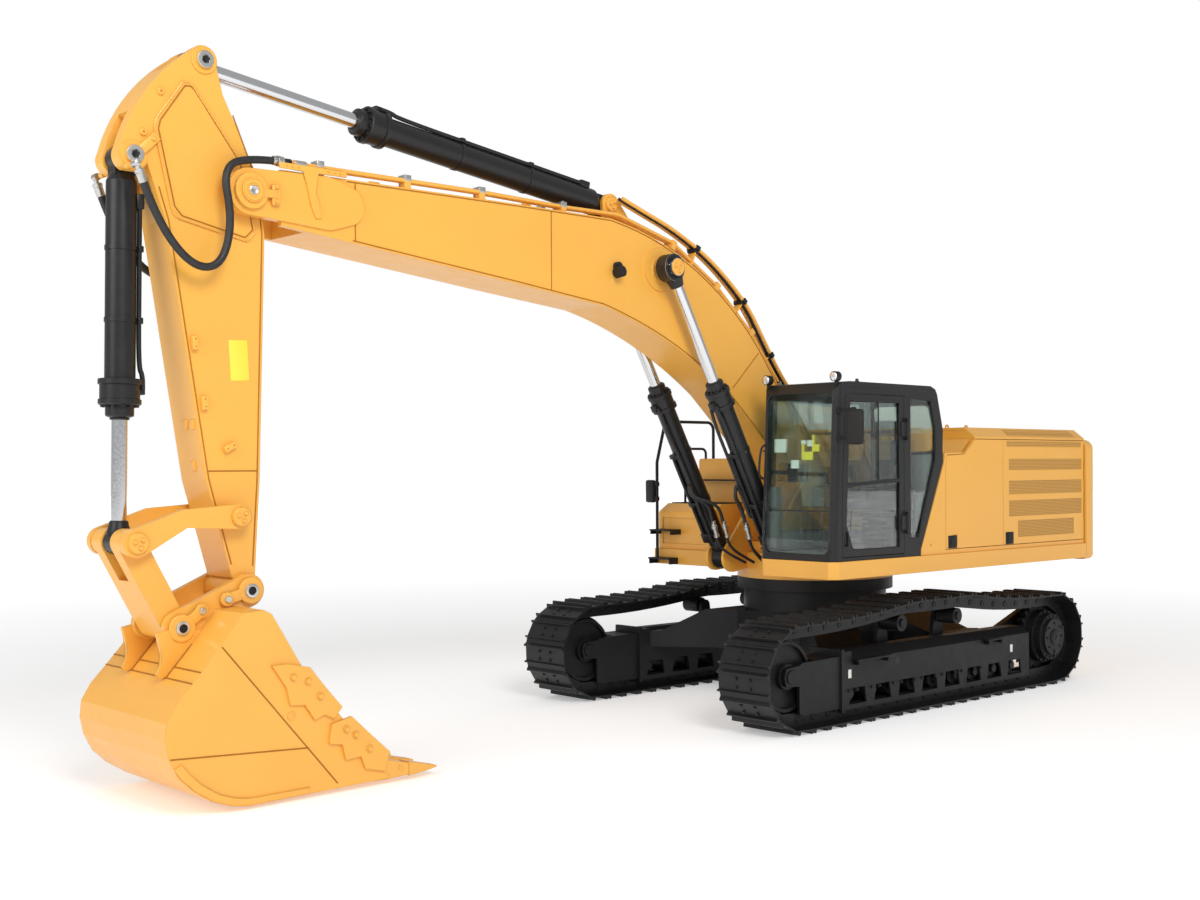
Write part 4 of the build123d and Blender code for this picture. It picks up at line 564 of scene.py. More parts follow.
def add_frame_fittings():
    """Step brackets, guard bolts, inspection covers and blank plates on the track frames."""
    black, white, hollow = bmesh.new(), bmesh.new(), bmesh.new()
    for side in (-1, 1):
        y = side * FRAME_SIDE
        for x0, x1 in ((0.79, 1.34), (-1.18, -0.84)):
            middle = (x0 + x1) / 2
            brick(black, at(middle, y + side * 0.045, 0.584), (x1 - x0, 0.075, 0.018), 0.005)
            for x in (x0 + 0.05, x1 - 0.05):
                brick(black, at(x, y + side * 0.03, 0.56), (0.014, 0.06, 0.055), 0.003)
        for x, z in ((1.366, 0.456), (-1.389, 0.448)):
            brick(white, at(x, y + side * 0.002, z), (0.045, 0.004, 0.08), 0.001)
        lathe(hollow, at(0.629, y, 0.511), (0, side, 0), ((0, 0.036), (0.0015, 0.036), (0.0015, 0.03)), 28)
        for i in range(9):
            for off in (-0.06, 0.06):
                bolt(black, at(GUARD_START + i * GUARD_PITCH + off, y, 0.3), (0, side, 0), 0.014)
    finish_piece("frame_steps", black, "undercarriage", "black_paint")
    finish_piece("frame_blank_plates", white, "undercarriage", "black_paint", CREAM)
    finish_piece("frame_holes", hollow, "undercarriage", "black_paint", CAB_BLACK)


def add_undercarriage():
    for side, name in ((-1, "right"), (1, "left")):
        add_shoe_bolts(side, name)
        add_chain_pins(side, name)
    add_drive_bolts()
    add_frame_fittings()
    shape = bmesh.new()
    bolt_ring(shape, at(0, 0, 1.165), (0, 0, 1), 0.8, 48, 0.014)
    finish_piece("slew_ring_bolts", shape, "undercarriage", "black_paint")


# ================================================================ boom, stick and linkage
PIN = {  # machine x and z of the arm's pins
    "foot": (0.3, 2.2), "tip": (6.835, 4.452), "lug": (2.565, 4.262), "lift_base": (1.0, 1.45),
    "stick_base": (3.05, 4.835), "stick_ear": (7.135, 5.385), "dig_base": (7.668, 4.621),
    "bucket": (6.838, 1.507), "idler": (6.92, 2.055), "knuckle": (7.705, 1.89), "bucket_ear": (7.378, 1.272),
}
CAPS = (  # pin, body, outer face |y|, cap radius, bolts, look
    ("tip", "boom", 0.372, 0.088, 0, "plug"),
    ("stick_base", "boom", 0.129, 0.07, 3, "bolts"),
    ("lug", "boom", 0.505, 0.084, 3, "bolts"),
    ("stick_ear", "stick", 0.22, 0.066, 0, "washer"),
    ("dig_base", "stick", 0.22, 0.066, 0, "washer"),
    ("idler", "stick", 0.334, 0.074, 3, "bolts"),
    ("knuckle", "idler_arms", 0.332, 0.076, 3, "bolts"),
    ("foot", "upper", 0.328, 0.095, 4, "bolts"),
)


def add_pin_caps():
    shapes = {}
    for pin, body, face, radius, count, look in CAPS:
        x, z = PIN[pin]
        for side in (-1, 1):
            place = at(x, side * face, z)
            way = (0, side, 0)
            yellow = shapes.setdefault((body, "yellow_paint"), bmesh.new())
            zinc = shapes.setdefault((body, "zinc_fitting"), bmesh.new())
            if look == "bolts":
                lathe(yellow, place, way, ((-0.002, radius * 0.93), (0.006, radius * 0.93),
                                           (0.009, radius * 0.88)), 36)
                bolt_ring(yellow, place + Vector((0, side * 0.008, 0)), way, radius * 0.45, count, 0.016,
                          0.25)
            elif look == "plug":
                lathe(yellow, place, way, ((-0.002, radius * 0.9), (0.008, radius * 0.86),
                                           (0.008, radius * 0.62),
                                           (0.002, radius * 0.58)), 36)
                lathe(zinc, place, way, ((-0.002, radius * 0.4), (0.01, radius * 0.4), (0.012, radius * 0.34),
                                         (0.006, radius * 0.2)), 28)
            else:
                lathe(zinc, place, way, ((-0.002, radius * 0.96), (0.01, radius * 0.96),
                                         (0.013, radius * 0.9),
                                         (0.013, radius * 0.5), (0.006, radius * 0.46)), 36)
                dark = shapes.setdefault((body, "black_paint"), bmesh.new())
                lathe(dark, place, way, ((0.0, radius * 0.44), (0.012, radius * 0.44), (0.014, radius * 0.38),
                                         (0.01, radius * 0.2)), 6)
    for (body, slot), shape in shapes.items():
        if shape.faces:
            finish_piece("pin_caps_" + body + "_" + slot.split("_")[0], shape, body, slot)


BOOM_TOP = ((0.89, 3.24), (1.9, 4.215), (3.19, 4.672))  # the box's bent edges, machine X and Z
BOOM_LOW = ((1.625, 3.12), (2.33, 3.53), (3.29, 3.868))
EDGE_IN = 0.018


def arc(a, b, c, steps=16):
    """Points of the circle through three points."""
    squares = [x * x + z * z for x, z in (a, b, c)]
    turn = 2 * (a[0] * (b[1] - c[1]) + b[0] * (c[1] - a[1]) + c[0] * (a[1] - b[1]))
    x = (squares[0] * (b[1] - c[1]) + squares[1] * (c[1] - a[1]) + squares[2] * (a[1] - b[1])) / turn
    z = (squares[0] * (c[0] - b[0]) + squares[1] * (a[0] - c[0]) + squares[2] * (b[0] - a[0])) / turn
    radius = math.hypot(a[0] - x, a[1] - z)
    start, end = math.atan2(a[1] - z, a[0] - x), math.atan2(c[1] - z, c[0] - x)
    angles = [start + (end - start) * i / steps for i in range(steps + 1)]
    return [(x + radius * math.cos(t), z + radius * math.sin(t)) for t in angles]


def boom_face(x):
    """Half the boom box's width at machine X."""
    return 0.258 + 0.042 * min(max((x - 3.0) / 1.3, 0.0), 1.0) + 0.0008


def add_boom_seams():
    """The seams where the side plates meet the top and bottom plates, and the butt welds across them, coloured
    with painted crease shade.
    """
    painted_shade = bmesh.new()
    top = [(0.3, 2.5)] + arc(*BOOM_TOP) + [(3.75, 4.669), (4.3, 4.665), (6.0, 4.652)]
    low = [(0.95, 2.535)] + arc(*BOOM_LOW) + [(3.75, 3.919), (4.3, 3.98), (5.95, 4.162)]
    for side in (-1, 1):
        for line, inward in ((top, -EDGE_IN), (low, EDGE_IN)):
            points = []
            for i, (x, z) in enumerate(line):
                before, after = line[max(i - 1, 0)], line[min(i + 1, len(line) - 1)]
                run = math.hypot(after[0] - before[0], after[1] - before[1])
                px, pz = x - (after[1] - before[1]) / run * inward, z + (after[0] - before[0]) / run * inward
                points.append(at(px, side * boom_face(px), pz))
            seam(painted_shade, points)
        for x, bottom, head in ((3.92, 3.96, 4.65), (5.925, 4.18, 4.64)):
            seam(painted_shade, [at(x, side * boom_face(x), bottom), at(x, side * boom_face(x), head)])
        seam(painted_shade, [at(1.175, side * boom_face(0), 3.545), at(1.56, side * boom_face(0), 3.18)])
    # the beads carry painted shade, the dark of the seams' creases
    finish_piece("boom_seams", painted_shade, "boom", "yellow_paint", CREASE_SHADE)


def add_boom_details():
    """The tip pin's keeper, the pipe brackets, the loops along the top and the pipes' clamps."""
    shape = bmesh.new()
    for side in (-1, 1):
        # keeper plate of the tip pin, with its bolts
        x, z = PIN["tip"]
        brick(shape, at(x - 0.2, side * 0.337, z - 0.01), (0.07, 0.03, 0.15), 0.006)
        brick(shape, at(x - 0.13, side * 0.348, z - 0.005), (0.14, 0.022, 0.062), 0.006)
        for dz in (-0.062, 0.05):
            bolt(shape, at(x - 0.2, side * 0.352, z + dz), (0, side, 0), 0.016)
        # pipe bracket on the fork's cheek
        prism(shape, ((6.5, 4.655), (6.4, 4.655), (6.37, 4.56), (6.33, 4.4), (6.29, 4.31), (6.245, 4.315),
                      (6.25, 4.4), (6.29, 4.5), (6.27, 4.655), (6.02, 4.655), (6.02, 4.7), (6.6, 4.7),
                      (6.6, 4.655)),
              side * 0.32, side * 0.332, 0.003)
        for x in (6.08, 6.13, 6.18, 6.44, 6.49, 6.54):
            bolt(shape, at(x, side * 0.332, 4.678), (0, side, 0), 0.007)
    # loops for lifting and hose guides along the top
    for x, z in ((4.05, 4.7), (5.62, 4.68)):
        for y in (-0.1, 0.1):
            brick(shape, at(x, y, z + 0.006), (0.1, 0.012, 0.05), 0.004)
    finish_piece("boom_fittings", shape, "boom", "yellow_paint")
    clamps = bmesh.new()
    for x in (3.73, 4.68, 5.43, 6.23):
        for y, width in ((-0.12, 0.126), (0.18, 0.126)) if x < 4 else ((-0.254, 0.094), (0.254, 0.094)):
            brick(clamps, at(x, y, 4.738), (0.066, width, 0.05), 0.004)
        for y in (-0.225, -0.12, 0.12, 0.225) if x < 4 else (-0.254, 0.254):
            bolt(clamps, at(x, y, 4.76), (0, 0, 1), 0.01)
    finish_piece("pipe_clamp_bolts", clamps, "boom", "zinc_fitting")


DOUBLER_Y = 0.2  # face of the doubler plates on the stick's head
DOUBLER_MIDDLE = (7.02, 4.66)


def add_stick_details():
    shape, painted_shade = bmesh.new(), bmesh.new()
    for side in (-1, 1):
        y = side * 0.19
        outline = [at(x, side * DOUBLER_Y, z) for x, z in
                   ((7.3, 5.195), (7.5, 4.905), (7.515, 4.84), (7.388, 4.275), (7.33, 4.21), (6.8, 4.1),
                    (6.735, 4.165), (6.835, 4.65), (6.86, 4.7), (7.22, 5.175), (7.255, 5.2))]
        bead(shape, outline, 0.008, 0.1, closed=True)
        middle = at(DOUBLER_MIDDLE[0], side * DOUBLER_Y, DOUBLER_MIDDLE[1])
        inner = [middle + Vector(((p.x - middle.x) * 0.94, 0, (p.z - middle.z) * 0.955)) for p in outline]
        seam(painted_shade, inner, closed=True)
        seam(painted_shade, [at(6.72, y, 2.39), at(7.12, y, 2.39)])
        for line in (((6.905, 5.02), (6.712, 4.56), (6.672, 4.16), (6.722, 2.33), (6.762, 1.68)),
                     ((6.935, 1.7), (7.11, 2.33), (7.409, 4.19), (7.48, 4.42))):
            seam(painted_shade, [at(px, y + side * 0.0008, pz) for px, pz in line])
        for x, z, lean in ((7.224, 3.319, 5), (7.151, 2.886, 5), (6.952, 2.566, -62)):
            turn = turned(lean)
            spot = at(x, y + side * 0.02, z)
            brick(shape, spot, (0.048, 0.044, 0.1), 0.005, turn)
            for end in (-1, 1):
                hole = spot + turn.to_3x3() @ Vector((0, 0, end * 0.028))
                # painted shade: a flat dark disc stands in for each hole
                lathe(painted_shade, hole + Vector((0, side * 0.021, 0)), (0, side, 0), ((0, 0.006), (0.0012, 0.006)),
                      10)
        for x, z in ((7.598, 4.79), (7.466, 5.1)):
            lathe(shape, at(x, side * 0.188, z), (0, side, 0),
                  ((0, 0.026), (0.018, 0.026), (0.022, 0.022), (0.022, 0.01), (0.01, 0.009)), 24)
        # keeper of the cylinder's base pin
        ax, az = PIN["dig_base"]
        brick(shape, at(ax - 0.1, side * 0.212, az + 0.085), (0.07, 0.022, 0.2), 0.01,
              turned(-45))
        bolt(shape, at(ax - 0.135, side * 0.222, az + 0.125), (0, side, 0), 0.016)
    for x, z, y in ((7.199, 2.73, 0.02), (7.199, 2.73, 0.12), (7.15, 2.43, 0.04), (7.06, 2.07, 0.0)):
        brick(shape, at(x, y, z), (0.03, 0.05, 0.075), 0.006, turned(9))
    finish_piece("stick_fittings", shape, "stick", "yellow_paint")
    # the weld beads and hole discs carry painted crease shade
    finish_piece("stick_seams", painted_shade, "stick", "yellow_paint", CREASE_SHADE)
    sign = bmesh.new()
    for side in (-1, 1):
        brick(sign, at(6.865, side * 0.1915, 3.21), (0.15, 0.003, 0.3), 0.001, turned(3))
    finish_piece("stick_blank_sign", sign, "stick", "yellow_paint", SIGN_YELLOW)


RAISED_LINE = (  # machine X and Z of the stick cylinder's lines over the boom's back
    (0.6, 3.13), (0.72, 3.24), (0.9, 3.45), (1.105, 3.735), (1.29, 3.985), (1.55, 4.215), (1.9, 4.455),
    (2.35, 4.665), (2.75, 4.79), (3.02, 4.88),
)


def add_raised_lines():
    """Two painted pipes over the boom's back with a hose between them, held off it by clamps."""
    for i, (y, radius, slot) in enumerate(((0.236, 0.017, "yellow_paint"), (0.19, 0.015, "hose_rubber"),
                                           (0.148, 0.017, "yellow_paint"))):
        pipe("raised_line_%d" % (i + 1), [at(x, y, z) for x, z in RAISED_LINE], radius, "boom", slot)
    clamps, legs = bmesh.new(), bmesh.new()
    for near, far, leg in ((2, 3, 0.06), (4, 5, 0.12), (6, 7, 0.17)):
        (x0, z0), (x1, z1) = RAISED_LINE[near], RAISED_LINE[far]
        spot = at(x0, 0.192, z0).lerp(at(x1, 0.192, z1), 0.3)
        lean = -math.atan2(z1 - z0, x1 - x0)
        turn = Matrix.Rotation(lean, 4, "Y")
        down = turn.to_3x3() @ Vector((0, 0, -1))
        brick(clamps, spot, (0.055, 0.142, 0.048), 0.006, turn)
        brick(clamps, spot + down * 0.035, (0.05, 0.11, 0.03), 0.004, turn)
        brick(legs, spot + down * (0.04 + leg / 2), (0.012, 0.1, leg), 0.003, turn)
        for side in (-1, 1):
            bolt(clamps, spot - down * 0.024 + Vector((0, side * 0.022, 0)), -down, 0.009)
    finish_piece("raised_line_clamps", clamps, "boom", "black_paint")
    finish_piece("raised_line_brackets", legs, "boom", "yellow_paint")


LIFT_Y = 0.4  # lane of the lift cylinders
HOSE_OFF = 0.115  # their hoses, out from the cylinder's middle line


def add_lift_hoses():
    """The lift cylinders' hoses: off the barrels in a loop and down into couplings on the deck."""
    along, over = ram_frame(PIN["lift_base"], PIN["lug"])
    over = -over
    rings = bmesh.new()
    for side, name in ((1, "left"), (-1, "right")):
        start = at(PIN["lift_base"][0], side * LIFT_Y, PIN["lift_base"][1])
        for i, (reach, lane, foot) in enumerate(((1.78, 0.33, 0.225), (0.62, 0.32, 0.15))):
            first = start + along * reach + over * HOSE_OFF
            first.y = side * (lane + 0.02)
            mouth = at(1.345 - 0.075 * i, side * foot, 1.815)
            points = [first, first - along * 0.12 + over * 0.025]
            shift = over * HOSE_OFF + Vector((0, side * (lane - LIFT_Y), 0))
            points += [start + along * r + shift for r in (1.2, 0.75) if r < reach]
            points += [at(1.6 - 0.03 * i, side * lane, 2.25), at(1.59, side * (lane - 0.02), 2.09),
                       at(1.42 - 0.06 * i, side * foot, 2.02), mouth + Vector((0.01, 0, 0.05)), mouth]
            tube, _ = tube_mesh("lift_hose_%s_%d" % (name, i + 1), points, 0.017, "hose_rubber", 12)
            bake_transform(tube)
            way = Vector((-0.35, 0, -0.94)).normalized()
            lathe(rings, mouth + Vector((0, 0, 0.03)), way,
                  ((0, 0.018), (0.006, 0.024), (0.05, 0.024), (0.056, 0.03), (0.085, 0.03), (0.09, 0.022),
                   (0.15, 0.021),
                   (0.156, 0.028), (0.18, 0.028), (0.186, 0.018)), 20)
            down = mouth + way * 0.16
            points = [down, down + way * 0.08, at(1.15 - 0.08 * i, side * foot * 0.9, 1.5),
                      at(0.95 - 0.08 * i, side * foot * 0.6, 1.4)]
            pipe("deck_line_%s_%d" % (name, i + 1), points, 0.015, "upper", "hose_rubber")
    finish_piece("lift_couplings", rings, "upper", "zinc_fitting")


def add_foot_lines():
    """The boom's lines go on down its back to the foot, with couplings where the pipes end."""
    rings = bmesh.new()
    for i, y in enumerate((-0.15, -0.09, 0.15, 0.21)):
        start = at(0.8285, y, 3.2748)
        way = Vector((-0.655, 0, -0.755))
        points = [start, start + way * 0.16, at(0.5, y, 2.93), at(0.3, y, 2.66), at(0.12, y * 0.9, 2.45),
                  at(0.02, y * 0.8, 2.26)]
        pipe("foot_line_%d" % (i + 1), points, 0.019, "boom", "hose_rubber")
        lathe(rings, start + way * 0.01, way,
              ((0, 0.018), (0.004, 0.027), (0.03, 0.027), (0.034, 0.023), (0.09, 0.022),
                                               (0.1, 0.018)), 20)
    finish_piece("foot_couplings", rings, "boom", "zinc_fitting")


def add_arm():
    add_boom_seams()
    add_foot_lines()
    add_raised_lines()
    add_lift_hoses()
    add_pin_caps()
    add_boom_details()
    add_stick_details()


# ================================================================ cylinders
# name, base pin, eye pin, lane, the barrel's radius, its head's, its length, the rod's radius, its eye's
RAMS = (
    ("lift_%s_left", "lift_base", "lug", LIFT_Y, 0.095, 0.115, 2.01, 0.055, 0.128),
    ("lift_%s_right", "lift_base", "lug", -LIFT_Y, 0.095, 0.115, 2.01, 0.055, 0.128),
    ("stick_%s", "stick_base", "stick_ear", 0.0, 0.118, 0.142, 2.7, 0.06, 0.1),
    ("bucket_%s", "dig_base", "knuckle", 0.0, 0.106, 0.138, 1.83, 0.054, 0.088),
)
TUBE = 0.018
PORT, PORT_HEAD = 0.3, 0.115  # the tubes' port blocks, from the base and back from the head
BAND_PLACES = (0.34, 0.62)  # bands that hold the tubes, in shares of the barrel's length


def ram_frame(base, eye):
    """The ram's directions: along it, and square to it in the machine's middle plane."""
    along = Vector((eye[0] - base[0], 0, eye[1] - base[1])).normalized()
    return along, Vector((-along.z, 0, along.x))


def add_ram(body, base, eye, lane, bore, collar, length, rod):
    """The barrel's gland with its bolts and wiper, its two tubes, their bands and their port blocks."""
    along, over = ram_frame(PIN[base], PIN[eye])
    start = at(PIN[base][0], lane, PIN[base][1])
    if base in ("lift_base", "dig_base"):
        over = -over
    sideways = Vector((0, 1, 0))
    turn = Matrix((along, sideways, over)).transposed().to_4x4()
    shape = bmesh.new()
    head = length - 0.07
    lathe(shape, start + along * (head - 0.19), along,
          ((0, collar), (0.004, collar + 0.012), (0.04, collar + 0.012), (0.046, collar)), 40)
    lathe(shape, start + along * (head - 0.045), along,
          ((0, collar + 0.001), (0.003, collar + 0.01), (0.036, collar + 0.01), (0.044, collar - 0.002)), 40)
    bolt_ring(shape, start + along * head, along, (collar + bore * 0.93) / 2 + 0.001, 12, 0.013)
    lathe(shape, start + along * (length - 0.004), along,
          ((0, bore * 0.93), (0.012, bore * 0.9), (0.02, rod + 0.018), (0.026, rod + 0.012),
           (0.026, rod + 0.002),
           (0, rod + 0.001)), 40, hollow=True)
    gap = bore * 0.48
    low = math.sqrt((bore + TUBE) ** 2 - gap ** 2)
    high = math.sqrt((collar + TUBE) ** 2 - gap ** 2)
    width = 2 * gap + 2.7 * TUBE
    for share in BAND_PLACES:
        spot = start + along * (length * share)
        lathe(shape, spot, along,
              ((0, bore + 0.0005), (0.001, bore + 0.006), (0.034, bore + 0.006), (0.035, bore + 0.0005)), 40)
        spot += along * 0.0175
        brick(shape, spot + over * (low + 0.006), (0.046, width, 0.038), 0.006, turn)
        for side in (-1, 1):
            bolt(shape, spot + over * (low + 0.024) + sideways * side * 0.014, over, 0.01)
    brick(shape, start + along * PORT + over * (bore + 0.006), (0.11, width, 0.06), 0.01, turn)
    brick(shape, start + along * (head - PORT_HEAD) + over * (collar + 0.012), (0.07, 0.07, 0.05), 0.008,
          turn)
    finish_piece(body + "_gland", shape, body, "cylinder_paint")
    for side, name, far, lift in ((-1, "_tube_b", length * BAND_PLACES[1] + 0.03, low),
                                  (1, "_tube_a", head - PORT_HEAD, high)):
        shift = sideways * side * gap
        reaches = (PORT, PORT + 0.14, length * 0.5, far - 0.16)
        points = [start + along * reach + over * low + shift for reach in reaches]
        points += [start + along * (far - 0.1) + over * lift + shift,
                   start + along * far + over * lift + shift * 0.9]
        pipe(body + name, points, TUBE, body, "cylinder_paint")


def add_rod_eye(body, base, eye, lane, radius, rod):
    """The painted eye at a rod's end, with its neck and grease fitting."""
    along, over = ram_frame(PIN[base], PIN[eye])
    place = at(PIN[eye][0], lane, PIN[eye][1])
    shape = bmesh.new()
    lathe(shape, place - Vector((0, 0.067, 0)), (0, 1, 0),
          ((0, radius * 0.62), (0.0, radius - 0.004), (0.006, radius + 0.002), (0.128, radius + 0.002),
           (0.134, radius - 0.004), (0.134, radius * 0.62)), 48, hollow=True)
    lathe(shape, place - along * (radius + 0.065), along,
          ((0, rod + 0.001), (0.006, rod + 0.01), (0.03, rod + 0.014), (0.085, rod + 0.03),
           (0.1, rod + 0.03)), 36)
    lathe(shape, place - along * (radius - 0.012) * 0.7 + over * radius * 0.7, over,
          ((0, 0.009), (0.012, 0.009), (0.02, 0.004)), 6)
    finish_piece(body + "_eye", shape, body, "cylinder_paint")


def add_rams():
    for name, *sizes, _ in RAMS:
        add_ram(name % "barrel", *sizes)
    for name, base, eye, lane, _, _, _, rod, radius in RAMS:
        add_rod_eye(name % "rod", base, eye, lane, radius, rod)
    _, base, eye, lane, _, _, length, rod, _ = RAMS[-1]
    along, _ = ram_frame(PIN[base], PIN[eye])
    wiper = bmesh.new()
    lathe(wiper, at(PIN[base][0], lane, PIN[base][1]) + along * (length + 0.022), along,
          ((0, rod + 0.001), (0.002, rod + 0.014), (0.01, rod + 0.014), (0.012, rod + 0.001)), 32,
          hollow=True)
    finish_piece("bucket_ram_wiper", wiper, "bucket_barrel", "cylinder_paint", RUBBER)


# ================================================================ bucket
CUTTER_BOLTS = ((6.62, 0.86), (6.74, 0.9), (6.52, 0.74), (6.22, 0.42), (6.3, 0.47), (6.1, 0.3))
BACK_SEAMS = ((7.437, 1.003), (7.5, 0.932))  # across the bucket's back wall, machine X and Z
TEETH = 5
TOOTH_PITCH = 0.3185


def add_bucket():
    """Heel strips, bolts, hooked feet, seams, the pins' keepers and the parts that take the wear."""
    shape, rings, dark, painted_shade = bmesh.new(), bmesh.new(), bmesh.new(), bmesh.new()
    for side in (-1, 1):
        # heel strip along the side's lower edge
        prism(shape, ((7.64, 0.36), (7.585, 0.285), (7.485, 0.19), (7.345, 0.098), (7.205, 0.05),
                      (7.081, 0.03),
                      (6.6, 0.04), (6.6, 0.085), (7.07, 0.078), (7.19, 0.098), (7.31, 0.142), (7.44, 0.228),
                      (7.53, 0.318), (7.585, 0.39)), side * 0.705, side * 0.721, 0.003)
        for x, z in CUTTER_BOLTS:
            bolt(shape, at(x, side * 0.731, z), (0, side, 0), 0.022)
        lathe(shape, at(6.741, side * 0.7, 0.618), (0, side, 0),
              ((0, 0.034), (0.012, 0.034), (0.012, 0.022), (0, 0.022)),
              28, hollow=True)
        # hooked foot of the hanger's plate on the back wall
        prism(shape, ((7.2, 1.25), (7.46, 1.27), (7.565, 1.25), (7.545, 1.17), (7.525, 1.09), (7.53, 1.02),
                      (7.565, 0.955),
                      (7.535, 0.925), (7.47, 0.945), (7.405, 1.0), (7.3, 1.13)), side * 0.262, side * 0.3005,
              0.006)
    for x, z in BACK_SEAMS:
        seam(painted_shade, [at(x, -0.7, z), at(x, 0.7, z)])
    for side in (-1, 1):
        for y in (0.26, 0.3025):
            seam(painted_shade, [at(7.3, side * y, 1.156), at(7.334, side * y, 1.119), at(7.5, side * y, 0.932)])
        for line in (((7.28, 1.165), (6.36, 0.075)), ((7.665, 0.432), (6.6, 0.37))):
            seam(painted_shade, [at(x, side * 0.7078, z) for x, z in line])
    # the weld beads, around the hooked feet too, carry painted crease shade
    finish_piece("bucket_seams", painted_shade, "bucket", "yellow_paint", CREASE_SHADE)
    # keeper plates beside the two pins
    for side in (-1, 1):
        for pin, (x, z) in (("bucket", (7.028, 1.455)), ("bucket_ear", (7.226, 1.385))):
            px, pz = PIN[pin]
            dx, dz = x - px, z - pz
            reach = math.hypot(dx, dz)
            lean = Matrix.Rotation(-math.atan2(dz, dx), 4, "Y")
            for centre, radius in (((px, pz), 0.098), ((x, z), 0.052)):
                lathe(shape, at(centre[0], side * 0.298, centre[1]), (0, side, 0),
                      ((0, radius), (0.014, radius), (0.018, radius - 0.006)), 36)
            brick(shape, at(px + dx / 2, side * 0.306, pz + dz / 2), (reach, 0.016, 0.08), 0.003, lean)
            lathe(rings, at(x, side * 0.316, z), (0, side, 0), ((0, 0.026), (0.014, 0.026), (0.018, 0.022)),
                  20)
            lathe(rings, at(px, side * 0.316, pz), (0, side, 0),
                  ((0, 0.052), (0.012, 0.052), (0.014, 0.046), (0.014, 0.032), (0.002, 0.03)), 32)
            # painted shade: a black disc in each pin's end stands in for the shade in its hole
            lathe(dark, at(px, side * 0.316, pz), (0, side, 0), ((0, 0.031), (0.006, 0.031), (0.007, 0.028)),
                  24)
    # wear bars under the bowl
    for y in (-0.5, -0.25, 0.0, 0.25, 0.5):
        brick(shape, at(6.8, y, 0.02), (0.52, 0.075, 0.014), 0.004)
    # tooth pins, and the wear plates behind the teeth
    for i in range(TEETH):
        y = (i - (TEETH - 1) / 2) * TOOTH_PITCH
        for side in (-1, 1):
            lathe(shape, at(5.8, y + side * 0.061, 0.105), (0, side, 0),
                  ((0, 0.02), (0.005, 0.02), (0.007, 0.016), (0.004, 0.008)), 20)
        brick(shape, at(6.02, y, 0.182), (0.16, 0.1, 0.012), 0.004, turned(4))
    finish_piece("bucket_wear_parts", shape, "bucket", "yellow_paint")
    finish_piece("bucket_pin_rings", rings, "bucket", "zinc_fitting")
    # black discs of painted hole shade
    finish_piece("bucket_pin_holes", dark, "bucket", "black_paint")


# ================================================================ cab
CAB_IN, CAB_OUT = 0.545, 1.47
SEAT_Y = (CAB_IN + CAB_OUT) / 2


def seat_pad(name, outline, width, crown):
    """A padded block swelled by a short cloth run: outline in X and Z, across the seat's middle."""
    shape = bmesh.new()
    rings = [[shape.verts.new(at(x, SEAT_Y + side * width / 2, z)) for x, z in outline] for side in (-1, 1)]
    cap(shape, rings)
    skin(shape, rings)
    soften(shape, list(shape.edges), 0.028, 3)
    pad = finish_piece(name, shape, "upper", "seat_fabric")
    remesh = pad.modifiers.new("even", "REMESH")
    remesh.mode = "VOXEL"
    remesh.voxel_size = 0.014
    remesh.use_smooth_shade = True
    apply_modifiers(pad)
    swell(pad, crown)
    smooth = pad.modifiers.new("smooth", "SMOOTH")
    smooth.factor = 0.5
    smooth.iterations = 3
    finer = pad.modifiers.new("finer", "SUBSURF")
    finer.levels = finer.render_levels = 1
    apply_modifiers(pad)
    for face in pad.data.polygons:
        face.use_smooth = True
    return pad


def apply_modifiers(piece):
    """Replaces the piece's mesh by what its modifiers make of it."""
    graph = bpy.context.evaluated_depsgraph_get()
    graph.update()
    made = bpy.data.meshes.new_from_object(piece.evaluated_get(graph))
    piece.modifiers.clear()
    old = piece.data
    piece.data = made
    made.name = piece.name
    bpy.data.meshes.remove(old)


CLOTH_FRAMES = 20


def swell(pad, crown):
    """A short cloth run under pressure, each point held within crown of its start."""
    before = [v.co.copy() for v in pad.data.vertices]
    cloth = pad.modifiers.new("puff", "CLOTH")
    cloth.settings.use_pressure = True
    cloth.settings.uniform_pressure_force = 4.0
    cloth.settings.effector_weights.gravity = 0.0
    cloth.settings.quality = 6
    cloth.point_cache.frame_start = 1
    cloth.point_cache.frame_end = CLOTH_FRAMES
    scene = bpy.context.scene
    for step in range(1, CLOTH_FRAMES + 1):
        scene.frame_set(step)
    apply_modifiers(pad)
    scene.frame_set(1)
    for vertex, start in zip(pad.data.vertices, before):
        moved = vertex.co - start
        if moved.length > crown:
            vertex.co = start + moved.normalized() * crown


